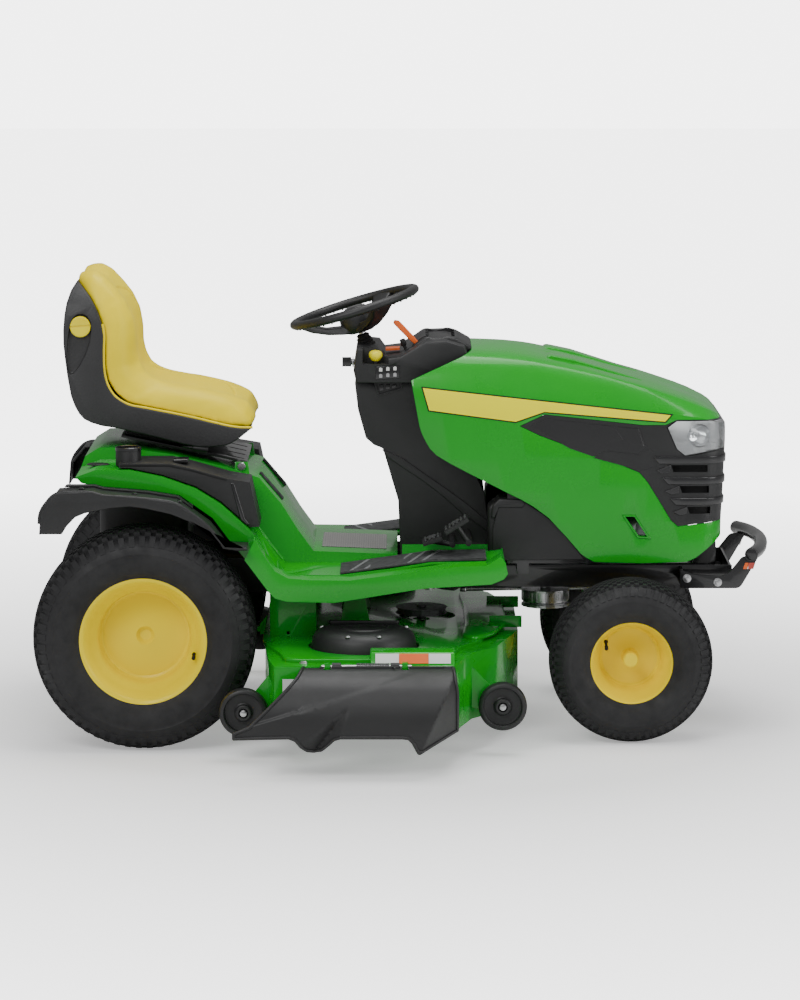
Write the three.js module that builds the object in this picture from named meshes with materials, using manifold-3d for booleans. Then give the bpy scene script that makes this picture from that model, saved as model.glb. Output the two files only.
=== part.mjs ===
// Riding lawn mower with a three-blade side-discharge deck.
// Millimetres. X runs forward, Y to the driver's left, Z up. Pieces are drawn from the rear axle's
// centre line over the ground, and the finished machine is moved so that its origin is under its middle.
import * as THREE from 'three';
import { mergeVertices } from 'three/addons/utils/BufferGeometryUtils.js';
import Module from 'manifold-3d';

const wasm = await Module();
wasm.setup();

// ---- Driving sizes -------------------------------------------------------------------------------
const touch = 0.4;                 // left between pieces that meet
const running = 1;                 // left round pieces that turn or slide
const wheelbase = 1213;
const rearWheel = { radius: 277, halfWidth: 118, track: 780, facets: 32, rim: 152, rimHalf: 97, hub: 46 };
const frontWheel = { radius: 205, halfWidth: 83, track: 660, facets: 28, rim: 102, rimHalf: 66, hub: 24 };
const axleShaftRadius = 13;
const caseHalf = 120;              // half of the transaxle housing's width
const spindleRadius = 10;
const frame = { half: 150, wall: 5, top: 414, rearTop: 430, bottom: 358, rear: -150, front: wheelbase + 267 };
const kingpin = { y: 225, radius: 12, boss: 22, armLength: 90, dragLength: 75 };
const axleBeam = { z: 270, height: 44, depth: 46, pin: 10 };
const column = { lean: 16.8, x: 548, z: 960, radius: 9 };
const steering = { wheelRadius: 172, rimTube: 13, pinion: 16, sector: 80, plate: 8 };
const hoodWall = 6;
const hoodHalf = 252;
const shellWall = 5;
const dashHalf = 172;
const pedestalHalf = 150;
const seatHalf = 218;
const fenderHalf = 402;
const footrestHalf = 470;
const flareHalf = 505;
const engine = { x: 1010, half: 150, shaft: 13, drivePulley: 45, clutch: 62 };
const transaxlePulley = 75;
const beltZ = 345;
const beltHeight = 12;
const beltThick = 9;
const deck = { top: 250, bottom: 85, wall: 4, half: 690, rear: 300, front: 935 };
const blade = { radius: 222, width: 60, thick: 5, z: 112, sideX: 545, sideY: 440, midX: 690 };
const gauge = { radius: 60, half: 20, z: 121, rearX: 252, rearY: 600, frontX: 888, frontY: 520 };

// ---- Small tools ---------------------------------------------------------------------------------
const rad = THREE.MathUtils.degToRad;
const columnUp = new THREE.Vector3(-Math.sin(rad(column.lean)), 0, Math.cos(rad(column.lean)));
const restHeight = (wheel) => wheel.radius * Math.cos(Math.PI / wheel.facets);

/** A closed mesh as a solid, turned right way out. */
function solid(geometry) {
  const bare = geometry.index ? geometry.toNonIndexed() : geometry.clone();
  bare.deleteAttribute('normal');
  bare.deleteAttribute('uv');
  const merged = mergeVertices(bare, 1e-3);
  const position = merged.attributes.position;
  const triVerts = Uint32Array.from(merged.index.array);
  const corner = [0, 1, 2].map(() => new THREE.Vector3());
  let volume = 0;
  for (let i = 0; i < triVerts.length; i += 3) {
    corner.forEach((point, k) => point.fromBufferAttribute(position, triVerts[i + k]));
    volume += corner[0].dot(corner[1].cross(corner[2]));
  }
  if (volume < 0) {
    for (let i = 0; i < triVerts.length; i += 3) {
      [triVerts[i], triVerts[i + 1]] = [triVerts[i + 1], triVerts[i]];
    }
  }
  const vertProperties = Float32Array.from(position.array);
  return new wasm.Manifold(new wasm.Mesh({ numProp: 3, vertProperties, triVerts }));
}

/** A solid back as a three.js geometry. */
function toGeometry(shape) {
  const mesh = shape.getMesh();
  const geometry = new THREE.BufferGeometry();
  const flat = new Float32Array(mesh.numVert * 3);
  for (let i = 0; i < mesh.numVert; i += 1) {
    for (let k = 0; k < 3; k += 1) {
      flat[3 * i + k] = mesh.vertProperties[mesh.numProp * i + k];
    }
  }
  geometry.setAttribute('position', new THREE.BufferAttribute(flat, 3));
  geometry.setIndex(new THREE.BufferAttribute(new Uint32Array(mesh.triVerts), 1));
  geometry.computeVertexNormals();
  return geometry;
}

const join = (first, ...rest) => rest.reduce((sum, shape) => sum.add(shape), first);
const cut = (first, ...rest) => rest.reduce((sum, shape) => sum.subtract(shape), first);
const shapeOf = (points) => new THREE.Shape(points.map(([a, b]) => new THREE.Vector2(a, b)));

/** A block between two values along each axis. */
function block([x0, x1], [y0, y1], [z0, z1]) {
  const box = new THREE.BoxGeometry(x1 - x0, y1 - y0, z1 - z0);
  return solid(box.translate((x0 + x1) / 2, (y0 + y1) / 2, (z0 + z1) / 2));
}

/** A side view outline, points [x, z], given its width from y0 to y1, with rounded long edges. */
function side(points, [y0, y1], round = 0) {
  const bevel = round > 0;
  const options = {
    depth: y1 - y0 - 2 * round, steps: 1, bevelEnabled: bevel, bevelThickness: round,
    bevelSize: round, bevelOffset: -round, bevelSegments: 2,
  };
  const geometry = new THREE.ExtrudeGeometry(shapeOf(points), options);
  return solid(geometry.rotateX(Math.PI / 2).translate(0, y1 - round, 0));
}

/** A top view outline, points [x, y], raised from z0 to z1. */
function plan(points, [z0, z1]) {
  const geometry = new THREE.ExtrudeGeometry(shapeOf(points), { depth: z1 - z0, bevelEnabled: false });
  return solid(geometry.translate(0, 0, z0));
}

/** A front view outline, points [y, z], drawn out from x0 to x1. */
function front(points, [x0, x1]) {
  const geometry = new THREE.ExtrudeGeometry(shapeOf(points), { depth: x1 - x0, bevelEnabled: false });
  const turn = new THREE.Matrix4().makeBasis(
    new THREE.Vector3(0, 1, 0), new THREE.Vector3(0, 0, 1), new THREE.Vector3(1, 0, 0),
  );
  return solid(geometry.applyMatrix4(turn).translate(x0, 0, 0));
}

/** A round bar between two points. */
function bar(from, to, radius, sides = 12) {
  const start = new THREE.Vector3(...from);
  const along = new THREE.Vector3(...to).sub(start);
  const geometry = new THREE.CylinderGeometry(radius, radius, along.length(), sides);
  const turn = new THREE.Quaternion().setFromUnitVectors(
    new THREE.Vector3(0, 1, 0), along.clone().normalize(),
  );
  geometry.applyQuaternion(turn);
  const middle = start.addScaledVector(along, 0.5);
  return solid(geometry.translate(middle.x, middle.y, middle.z));
}

/** A ring or disc turned about the Y axis from points [radius, y]; the first corner is at an angle. */
function turned(points, sides, angle = 0) {
  const profile = points.map(([r, y]) => new THREE.Vector2(r, y));
  if (points[0][0] > 0) profile.push(profile[0].clone());
  return solid(new THREE.LatheGeometry(profile, sides).rotateY(angle));
}

/** The same, about the upright axis through x, y. */
function turnedUp(points, sides, [x, y]) {
  const profile = points.map(([r, z]) => new THREE.Vector2(r, z));
  if (points[0][0] > 0) profile.push(profile[0].clone());
  const geometry = new THREE.LatheGeometry(profile, sides).rotateX(Math.PI / 2);
  return solid(geometry.translate(x, y, 0));
}

/** A round tube that follows a smooth curve through the points. */
function pipe(points, radius, steps, sides = 8, closed = false) {
  const path = new THREE.CatmullRomCurve3(points.map((p) => new THREE.Vector3(...p)), closed);
  const ring = Array.from({ length: sides }, (_, i) => {
    const angle = (2 * Math.PI * i) / sides;
    return [radius * Math.cos(angle), radius * Math.sin(angle)];
  });
  return solid(new THREE.ExtrudeGeometry(shapeOf(ring), { steps, extrudePath: path }));
}

/** An open line of points moved sideways by a distance, its corners mitred. */
function beside(points, distance) {
  const normal = (a, b) => {
    const length = Math.hypot(b[0] - a[0], b[1] - a[1]);
    return [-(b[1] - a[1]) / length, (b[0] - a[0]) / length];
  };
  return points.map((point, i) => {
    const before = normal(points[Math.max(i - 1, 0)], points[Math.max(i, 1)]);
    const last = points.length - 1;
    const after = normal(points[Math.min(i, last - 1)], points[Math.min(i + 1, last)]);
    const sum = [before[0] + after[0], before[1] + after[1]];
    const scale = (2 * distance) / (sum[0] ** 2 + sum[1] ** 2);
    return [point[0] + sum[0] * scale, point[1] + sum[1] * scale];
  });
}

/** The outline of a sheet of a given thickness that follows a line of points. */
const sheet = (points, thickness) => [...points, ...beside(points, thickness).reverse()];

/** A closed outline, its points going clockwise, drawn in by a distance. */
function inset(points, distance) {
  const wrapped = [points[points.length - 1], ...points, points[0]];
  return beside(wrapped, -distance).slice(1, -1);
}

const mirror = (shape) => {
  const geometry = toGeometry(shape);
  geometry.scale(1, -1, 1);
  return solid(geometry);
};

// ---- Finishes ------------------------------------------------------------------------------------
const finish = (color, roughness, metalness = 0) => (
  new THREE.MeshStandardMaterial({ color, roughness, metalness })
);
const paint = {
  green: finish(0x1f8f33, 0.3), yellow: finish(0xf6d400, 0.4), black: finish(0x1b1c1d, 0.55),
  blackPaint: finish(0x121213, 0.35, 0.2), rubber: finish(0x232425, 0.85), steel: finish(0x9da0a3, 0.35, 0.9),
  iron: finish(0x55585a, 0.6, 0.7), clear: finish(0xdfe6ea, 0.1), orange: finish(0xe85a12, 0.45),
  shell: finish(0x2b2c2e, 0.8), mat: finish(0x3b3d3f, 0.8), aluminium: finish(0xb9bcbf, 0.4, 0.8),
};

const machine = new THREE.Group();

/** Puts a named piece into a group, by default the machine itself. */
function piece(name, shape, material, group = machine) {
  const mesh = new THREE.Mesh(toGeometry(shape), material);
  mesh.name = name;
  group.add(mesh);
  return mesh;
}

// ---- Wheels --------------------------------------------------------------------------------------
/** Half of a tyre's outer line, points [radius, y], from the bead to the tread's edge. */
function tyreShape({ radius, halfWidth, rim, rimHalf, facets }) {
  const bead = rim + touch;
  const wall = (radius - bead) * 0.13;
  const half = [
    [bead, rimHalf - 6 - touch], [bead + 13, rimHalf - 6 - touch], [bead + (radius - bead) * 0.5, halfWidth],
    [radius - (radius - bead) * 0.12, halfWidth * 0.84], [radius, halfWidth * 0.5],
  ];
  const inner = [[bead, rimHalf - 22], [radius - 2 * wall, halfWidth - 2 * wall]];
  const flip = (points) => points.map(([r, y]) => [r, -y]).reverse();
  const line = [...half, ...flip(half), ...inner.map(([r, y]) => [r, -y]), ...inner.slice().reverse()];
  return turned(line, facets, Math.PI / facets);
}

/** A pressed rim whose disc sits near its inner side; +Y is its outer side. */
function rimShape({ rim, rimHalf, hub, flange, bore, nose, facets }) {
  const wall = 5;
  const disc = -rimHalf + 14;
  return turned([
    [0, nose], [bore, nose], [bore, -rimHalf], [hub, -rimHalf], [hub, disc], [rim - 3 * wall, disc],
    [rim - 2 * wall, -rimHalf], [flange, -rimHalf], [rim, -rimHalf + 6], [rim, rimHalf - 6],
    [flange, rimHalf - wall], [flange, rimHalf], [rim - wall, rimHalf - 4], [rim - 3 * wall, disc + 2 * wall],
    [hub, disc + wall], [hub, nose + 8], [0, nose + 8],
  ], facets / 2, Math.PI / facets);
}

/** The half shaft that a rear rim turns with, from the transaxle's end to the hub. */
const axleShaft = ({ axleFrom, track, nose }) => (
  bar([0, axleFrom - track / 2, 0], [0, nose + 2, 0], axleShaftRadius)
);

const wheelPlaces = [
  {
    name: 'rear', x: 0,
    wheel: { ...rearWheel, flange: 164, bore: axleShaftRadius - 1, nose: -4, axleFrom: caseHalf + touch },
  },
  { name: 'front', x: wheelbase,
    wheel: { ...frontWheel, flange: 113, bore: spindleRadius + running, nose: 6 } },
];
for (const { name, wheel, x } of wheelPlaces) {
  for (const [sideName, sign] of [['right', -1], ['left', 1]]) {
    const group = new THREE.Group();
    group.position.set(x, (sign * wheel.track) / 2, restHeight(wheel));
    group.rotation.z = sign < 0 ? Math.PI : 0;
    piece(`${name}_tyre_${sideName}`, tyreShape(wheel), paint.rubber, group);
    const rim = wheel.axleFrom ? join(rimShape(wheel), axleShaft(wheel)) : rimShape(wheel);
    piece(`${name}_rim_${sideName}`, rim, paint.yellow, group);
    machine.add(group);
  }
}

// ---- Rear drive ----------------------------------------------------------------------------------
const rearZ = restHeight(rearWheel);
const housing = join(
  side([[-110, 215], [-110, 310], [-60, 336], [90, 336], [130, 300], [130, 230], [80, 200], [-70, 200]],
    [-80, 80]),
  bar([0, -caseHalf, rearZ], [0, caseHalf, rearZ], 46, 16),
);
piece('transaxle', cut(housing, bar([30, 0, 310], [30, 0, 360], 11)), paint.aluminium);

/** A belt pulley with two flanges on an upright shaft. */
function pulley(radius, at, z, height = 16) {
  const lip = 5;
  const rim = (height - beltHeight) / 2;
  return turnedUp([
    [0, z], [radius + lip, z], [radius + lip, z + rim * 0.7], [radius, z + rim * 0.7],
    [radius, z + height - rim * 0.7], [radius + lip, z + height - rim * 0.7], [radius + lip, z + height],
    [0, z + height],
  ], 16, at);
}

const beltSlack = (z) => [z - (16 - beltHeight) / 2, z + beltHeight];
const transaxleAt = [30, 0];
piece('transaxle_pulley', join(
  pulley(transaxlePulley, transaxleAt, beltSlack(beltZ)[0]),
  bar([...transaxleAt, 316], [...transaxleAt, beltZ + 2], 10),
), paint.iron);

/** A flat belt round two pulleys, given by their places and radii. */
function beltRound([xa, ra], [xb, rb], z) {
  const loop = (extra) => {
    const lean = Math.asin((ra - rb) / (xb - xa));
    const points = [];
    const count = 12;
    for (let i = 0; i <= count; i += 1) {
      const angle = Math.PI / 2 - lean + ((Math.PI + 2 * lean) * i) / count;
      points.push([xa + (ra + extra) * Math.cos(angle), (ra + extra) * Math.sin(angle)]);
    }
    for (let i = 0; i <= count; i += 1) {
      const angle = -Math.PI / 2 + lean + ((Math.PI - 2 * lean) * i) / count;
      points.push([xb + (rb + extra) * Math.cos(angle), (rb + extra) * Math.sin(angle)]);
    }
    return points;
  };
  const rise = [z + touch, z + beltHeight - touch];
  return cut(plan(loop(beltThick), rise), plan(loop(2), [rise[0] - 1, rise[1] + 1]));
}
piece('drive_belt', beltRound([transaxleAt[0], transaxlePulley], [engine.x, engine.drivePulley], beltZ),
  paint.rubber);

// ---- Main frame ----------------------------------------------------------------------------------
const sectorAt = [800, 36];
const pinionAt = [711, 0];
const crossZ = 367;
const enginePlate = [870, wheelbase + 207];
const railSide = [
  [frame.rear, 345], [frame.rear, frame.rearTop], [640, frame.rearTop], [700, frame.top],
  [frame.front, frame.top], [frame.front, 374], [1290, frame.bottom], [690, frame.bottom], [560, 345],
];
function mainFrame() {
  const rails = [-1, 1].map((sign) => side(railSide,
    sign < 0 ? [-frame.half, -frame.half + frame.wall] : [frame.half - frame.wall, frame.half]));
  const across = [-frame.half + 1, frame.half - 1];
  const rear = block([frame.rear + 1, frame.rear + 7], across, [347, frame.rearTop - 1]);
  const tongue = cut(
    plan([[-225, -30], [-225, 30], [-200, 55], [-145, 55], [-145, -55], [-200, -55]], [350, 358]),
    bar([-200, 0, 340], [-200, 0, 370], 9.5),
  );
  const seatBeam = block([110, 150], across, [frame.rearTop - 30, frame.rearTop - 1]);
  const deckPlate = cut(block(enginePlate, across, [frame.top - 6, frame.top + 1]),
    bar([engine.x, 0, 400], [engine.x, 0, 420], 34));
  const support = cut(block([676, 850], across, [crossZ, crossZ + 6]),
    bar([...pinionAt, 360], [...pinionAt, 380], 8 + running));
  const sectorPost = bar([...sectorAt, crossZ + 3], [...sectorAt, 324], 8);
  const nose = block([frame.front - 7, frame.front - 1], across, [376, frame.top - 1]);
  const cheeks = [[-32, -26], [26, 32]].map(([a, b]) => front(
    [[-70, frame.top - 3], [70, frame.top - 3], [34, axleBeam.z - 26], [-34, axleBeam.z - 26]],
    [wheelbase + a, wheelbase + b],
  ));
  const pin = bar([wheelbase - 40, 0, axleBeam.z], [wheelbase + 40, 0, axleBeam.z], axleBeam.pin);
  const hoodEars = [-1, 1].map((sign) => side(
    [[1380, frame.top - 2], [1440, frame.top - 2], [1440, 470], [1428, 482], [1412, 482], [1400, 470]],
    [sign * 120 - 4, sign * 120 + 4],
  ));
  const hoodPin = bar([1420, -135, 466], [1420, 135, 466], 7);
  const skirtLine = [[905, 432], [905, 620], [940, 600], [1040, 545], [1110, 470], [1110, 437], [1080, 432]];
  const skirts = [-1, 1].map((sign) => join(
    side(skirtLine, [sign * 234 - 2, sign * 234 + 2]),
    block([930, 960], sign < 0 ? [-234, -149] : [149, 234], [frame.top - 8, frame.top - 2]),
    block([930, 960], [sign * 234 - 2, sign * 234 + 2], [frame.top - 8, 440]),
  ));
  return join(...rails, rear, tongue, seatBeam, deckPlate, support, sectorPost, nose, ...cheeks, pin,
    ...hoodEars, hoodPin, ...skirts);
}
piece('main_frame', mainFrame(), paint.blackPaint);

// ---- Front axle and steering ---------------------------------------------------------------------
const beamTop = axleBeam.z + axleBeam.height / 2;
const bossFoot = axleBeam.z - axleBeam.height / 2;
function frontAxle() {
  const beam = front([
    [-kingpin.y, bossFoot + 4], [-kingpin.y, beamTop - 4], [-60, beamTop], [60, beamTop],
    [kingpin.y, beamTop - 4], [kingpin.y, bossFoot + 4], [60, bossFoot], [-60, bossFoot],
  ], [wheelbase - axleBeam.depth / 2, wheelbase + axleBeam.depth / 2]);
  const bosses = [-1, 1].map((sign) => bar([wheelbase, sign * kingpin.y, bossFoot],
    [wheelbase, sign * kingpin.y, beamTop], kingpin.boss, 16));
  const bores = [-1, 1].map((sign) => bar([wheelbase, sign * kingpin.y, bossFoot - 5],
    [wheelbase, sign * kingpin.y, beamTop + 5], kingpin.radius + running, 16));
  const pivot = bar([wheelbase - 60, 0, axleBeam.z], [wheelbase + 60, 0, axleBeam.z],
    axleBeam.pin + running, 16);
  return cut(join(beam, ...bosses), ...bores, pivot);
}
piece('front_axle', frontAxle(), paint.blackPaint);

const armZ = [beamTop + 3, beamTop + 11];
const frontZ = restHeight(frontWheel);
function knuckle(sign) {
  const y = sign * kingpin.y;
  const pin = bar([wheelbase, y, frontZ - 22], [wheelbase, y, armZ[1]], kingpin.radius, 16);
  const body = bar([wheelbase, y, frontZ - 22], [wheelbase, y, bossFoot - running], 20, 16);
  const spindle = bar([wheelbase, y, frontZ], [wheelbase, sign * (frontWheel.track / 2 + 5), frontZ],
    spindleRadius);
  const rear = plan([
    [wheelbase - kingpin.armLength - 10, y - 10], [wheelbase - kingpin.armLength - 10, y + 10],
    [wheelbase + 14, y + 14], [wheelbase + 14, y - 14],
  ], armZ);
  const inboard = plan([
    [wheelbase - 12, y], [wheelbase + 12, y], [wheelbase + 9, y - sign * (kingpin.dragLength + 10)],
    [wheelbase - 9, y - sign * (kingpin.dragLength + 10)],
  ], armZ);
  return sign > 0 ? join(pin, body, spindle, rear, inboard) : join(pin, body, spindle, rear);
}
piece('knuckle_right', knuckle(-1), paint.iron);
piece('knuckle_left', knuckle(1), paint.iron);

const rodRadius = 6;
const armEndX = wheelbase - kingpin.armLength;
const tieZ = armZ[0] - rodRadius - touch;
const dragZ = armZ[1] + rodRadius + touch;
const dragEnd = [wheelbase, kingpin.y - kingpin.dragLength];
const sectorArm = [sectorAt[0], sectorAt[1] + kingpin.dragLength];
piece('tie_rod', join(
  bar([armEndX, -kingpin.y, tieZ], [armEndX, kingpin.y, tieZ], rodRadius),
  ...[-1, 1].map((s) => bar([armEndX, s * kingpin.y, tieZ - 8], [armEndX, s * kingpin.y, tieZ + 6], 9)),
), paint.steel);
piece('drag_link', join(
  bar([...sectorArm, dragZ], [...dragEnd, dragZ], rodRadius),
  bar([...sectorArm, dragZ - 6], [...sectorArm, dragZ + 8], 9),
  bar([...dragEnd, dragZ - 6], [...dragEnd, dragZ + 8], 9),
), paint.steel);

const sectorZ = [dragZ + 20, dragZ + 28];
function sectorGear() {
  const facing = Math.atan2(pinionAt[1] - sectorAt[1], pinionAt[0] - sectorAt[0]);
  const reach = steering.sector - 0.8;
  const arc = Array.from({ length: 15 }, (_, i) => {
    const angle = facing + rad(-49 + 7 * i);
    return [sectorAt[0] + reach * Math.cos(angle), sectorAt[1] + reach * Math.sin(angle)];
  });
  const blade = plan([...arc, sectorAt], sectorZ);
  const hub = bar([...sectorAt, sectorZ[0]], [...sectorAt, sectorZ[1] + 8], 22, 16);
  const arm = plan([
    [sectorAt[0] - 14, sectorAt[1]], [sectorAt[0] + 14, sectorAt[1]],
    [sectorArm[0] + 9, sectorArm[1] + 10], [sectorArm[0] - 9, sectorArm[1] + 10],
  ], sectorZ);
  return cut(join(blade, hub, arm), bar([...sectorAt, 300], [...sectorAt, 380], 8 + running, 16));
}
piece('sector_gear', sectorGear(), paint.iron);

const jointZ = 462;
piece('pinion_shaft', join(
  bar([...pinionAt, sectorZ[0]], [...pinionAt, jointZ - 14], 8),
  bar([...pinionAt, sectorZ[0] - 2], [...pinionAt, sectorZ[1] + 2], steering.pinion - 0.8, 16),
  bar([...pinionAt, jointZ - 26], [...pinionAt, jointZ - 12], 13),
), paint.steel);

const down = (distance) => new THREE.Vector3(column.x, 0, column.z).addScaledVector(columnUp, -distance);
const shaftFoot = (column.z - jointZ) / columnUp.z;
const shaftTop = 74;
piece('steering_shaft', join(
  bar(down(-shaftTop).toArray(), down(shaftFoot - 8).toArray(), column.radius),
  bar(down(shaftFoot - 24).toArray(), down(shaftFoot - 6).toArray(), 13),
), paint.steel);

/** Wheel drawn level at its own centre, with three spokes and a hub, then leaned onto the column. */
function steeringWheel() {
  const rim = turnedUp(Array.from({ length: 6 }, (_, i) => {
    const angle = (2 * Math.PI * i) / 6;
    return [steering.wheelRadius - steering.rimTube + steering.rimTube * Math.cos(angle),
      steering.rimTube * Math.sin(angle)];
  }), 28, [0, 0]);
  const hub = turnedUp([[0, -68], [40, -68], [46, -40], [44, -8], [0, 4]], 16, [0, 0]);
  const spokes = [60, 180, 300].map((degrees) => {
    const a = rad(degrees);
    const reach = steering.wheelRadius - steering.rimTube;
    return bar([25 * Math.cos(a), 25 * Math.sin(a), -34],
      [reach * Math.cos(a), reach * Math.sin(a), -2], 12, 8);
  });
  const bore = bar([0, 0, -80], [0, 0, -30 + touch], column.radius + touch);
  return cut(join(rim, hub, ...spokes), bore);
}
const wheelCentre = down(-shaftTop - 30);
const wheelMesh = piece('steering_wheel', steeringWheel(), paint.black);
wheelMesh.position.copy(wheelCentre);
wheelMesh.rotation.y = -rad(column.lean);

// ---- Engine --------------------------------------------------------------------------------------
const engineFoot = frame.top + 1 + touch;
function engineBlock() {
  const crankcase = plan([[900, -100], [900, 100], [950, 128], [1110, 128], [1110, -128], [950, -128]],
    [engineFoot, 560]);
  const cylinders = [-1, 1].map((sign) => bar([engine.x + 40, sign * 30, 490],
    [engine.x + 250, sign * 175, 500], 58, 12));
  const filter = bar([engine.x, 120, 450], [engine.x, 205, 450], 34, 12);
  return cut(join(crankcase, ...cylinders, filter),
    bar([engine.x, 0, 400], [engine.x, 0, 470], engine.shaft + running, 16));
}
piece('engine', engineBlock(), paint.aluminium);
function engineCover() {
  const fan = turnedUp([[0, 560 + touch], [140, 560 + touch], [140, 690], [104, 730], [0, 738]],
    24, [engine.x, 0]);
  const intake = side([[1060, 566], [1060, 760], [1220, 742], [1290, 690], [1290, 566]], [-96, 96], 14);
  return join(fan, intake);
}
piece('engine_cover', engineCover(), paint.black);
piece('engine_pulley', join(
  bar([engine.x, 0, 460], [engine.x, 0, 290], engine.shaft),
  pulley(engine.drivePulley, [engine.x, 0], beltSlack(beltZ)[0]),
  turnedUp([[0, 286], [engine.clutch, 286], [engine.clutch, 292], [engine.clutch - 8, 297],
    [engine.clutch, 302], [engine.clutch, 330], [0, 334]], 16, [engine.x, 0]),
), paint.steel);

// ---- Hood, grille and headlights -----------------------------------------------------------------
const hoodSide = [
  [800, 665], [719, 711], [701, 738], [683, 774], [663, 896], [815, 962], [815, 1000], [1600, 1000],
  [1600, 300], [1454, 510], [1403, 465], [1357, 435], [1125, 437], [1090, 459], [1055, 500], [1009, 550],
  [937, 598], [916, 606],
];
const hoodCrown = [
  [560, 300], [560, 970], [827, 970], [940, 960], [1047, 940], [1167, 906], [1295, 872], [1381, 840],
  [1446, 808], [1457, 788], [1453, 700], [1447, 548], [1455, 530], [1455, 300],
];
const hoodPlan = [
  [560, -238], [560, 238], [900, hoodHalf], [1300, hoodHalf], [1400, hoodHalf - 10], [1470, 200],
  [1470, -200], [1400, -hoodHalf + 10], [1300, -hoodHalf], [900, -hoodHalf],
];
/** The hood's outer form, drawn in by a distance; it runs on past the open bottom and back. */
function hoodForm(distance) {
  const half = hoodHalf - distance;
  const crown = side(inset(hoodCrown, distance), [-half, half], 30);
  const outline = inset(hoodPlan, distance);
  const open = distance > 0 ? block([400, 1500], [-half, half], [200, 800]) : null;
  const form = crown.intersect(plan(outline, [200, 1100]));
  return open ? join(form, open.intersect(plan(outline, [200, 420]))) : form;
}
const blackPanel = [
  [936, 783], [998, 812], [1244, 785], [1302, 785], [1329, 798], [1500, 798], [1500, 545], [1426, 539],
  [1334, 528], [1317, 543], [1258, 640], [1237, 665], [1103, 715], [986, 759],
];
const lensSide = [[1306, 779], [1329, 796], [1500, 796], [1500, 724], [1449, 724], [1351, 707], [1330, 724]];
const grilleSlots = [[675, 1320, 1412], [622, 1342, 1418], [569, 1362, 1422]];
const lensInner = 70;
const full = [-300, 300];
const hoodSkin = cut(hoodForm(0), hoodForm(hoodWall)).intersect(side(hoodSide, full));
const ventSlots = [-1, 1].map((sign) => block([1004, 1074], [sign * 105 - 42, sign * 105 + 42], [880, 1000]));
const lowVent = side([[1192, 558], [1227, 558], [1267, 496], [1234, 498]], full);
piece('hood', cut(hoodSkin, side(inset(blackPanel, -touch), full), ...ventSlots, lowVent), paint.green);
function grille() {
  const slotHeight = 8;
  const slots = grilleSlots.flatMap(([z, x0, x1]) => [
    block([x0, x1], full, [z - slotHeight, z + slotHeight]),
    block([1430, 1500], [-185, -8], [z - slotHeight, z + slotHeight]),
    block([1430, 1500], [8, 185], [z - slotHeight, z + slotHeight]),
  ]);
  const lenses = [[-300, -lensInner], [lensInner, 300]].map((width) => side(lensSide, width));
  return cut(hoodSkin.intersect(side(blackPanel, full)), ...lenses, ...slots);
}
piece('grille', grille(), paint.black);
for (const sign of [-1, 1]) {
  const width = sign < 0 ? [-300, -lensInner - touch] : [lensInner + touch, 300];
  const lens = hoodSkin.intersect(side(inset(lensSide, touch), width));
  piece(`headlight_${sign < 0 ? 'right' : 'left'}`, lens, paint.clear);
}

// ---- Front bumper --------------------------------------------------------------------------------
const bumperTube = 17;
function frontBumper() {
  const cheek = [[-136, 362], [-136, 411], [-100, 398], [-29, 393], [-11, 402], [22, 444], [65, 446],
    [20, 368], [11, 362]].map(([x, z]) => [frame.front + x, z]);
  const plates = [-1, 1].map((sign) => side(cheek, [sign * 197 - 4, sign * 197 + 4]));
  const cross = block([frame.front + touch, frame.front + 8], [-197, 197], [370, 412]);
  const bow = pipe([[42, -235, 455], [66, -160, 457], [84, 0, 459], [66, 160, 457], [42, 235, 455]]
    .map(([x, y, z]) => [frame.front + x, y, z]), bumperTube, 14);
  return join(...plates, cross, bow);
}
piece('front_bumper', frontBumper(), paint.blackPaint);

// ---- Dash ----------------------------------------------------------------------------------------
const dashTop = 882;
const pedestalFoot = frame.rearTop + touch;
function dashPedestal() {
  const outer = [
    [636, pedestalFoot], [632, 489], [630, 580], [609, 654], [591, 713], [569, 722], [548, 740], [528, 813],
    [520, dashTop - touch], [800, dashTop - touch], [800, 700], [850, 600], [862, 500], [862, pedestalFoot],
  ];
  const inner = [
    [641, 400], [637, 489], [635, 580], [614, 656], [595, 718], [572, 727], [553, 743], [533, 815],
    [525, 920], [960, 920], [960, 400],
  ];
  const half = pedestalHalf - shellWall;
  const shell = cut(side(outer, [-pedestalHalf, pedestalHalf]), side(inner, [-half, half]));
  if (pedestalHalf >= frame.half) return shell;
  const feet = [-1, 1].map((sign) => block([640, 860], sign < 0 ? [-frame.half, -half] : [half, frame.half],
    [pedestalFoot, pedestalFoot + shellWall]));
  return join(shell, ...feet);
}
piece('dash_pedestal', dashPedestal(), paint.black);

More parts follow.
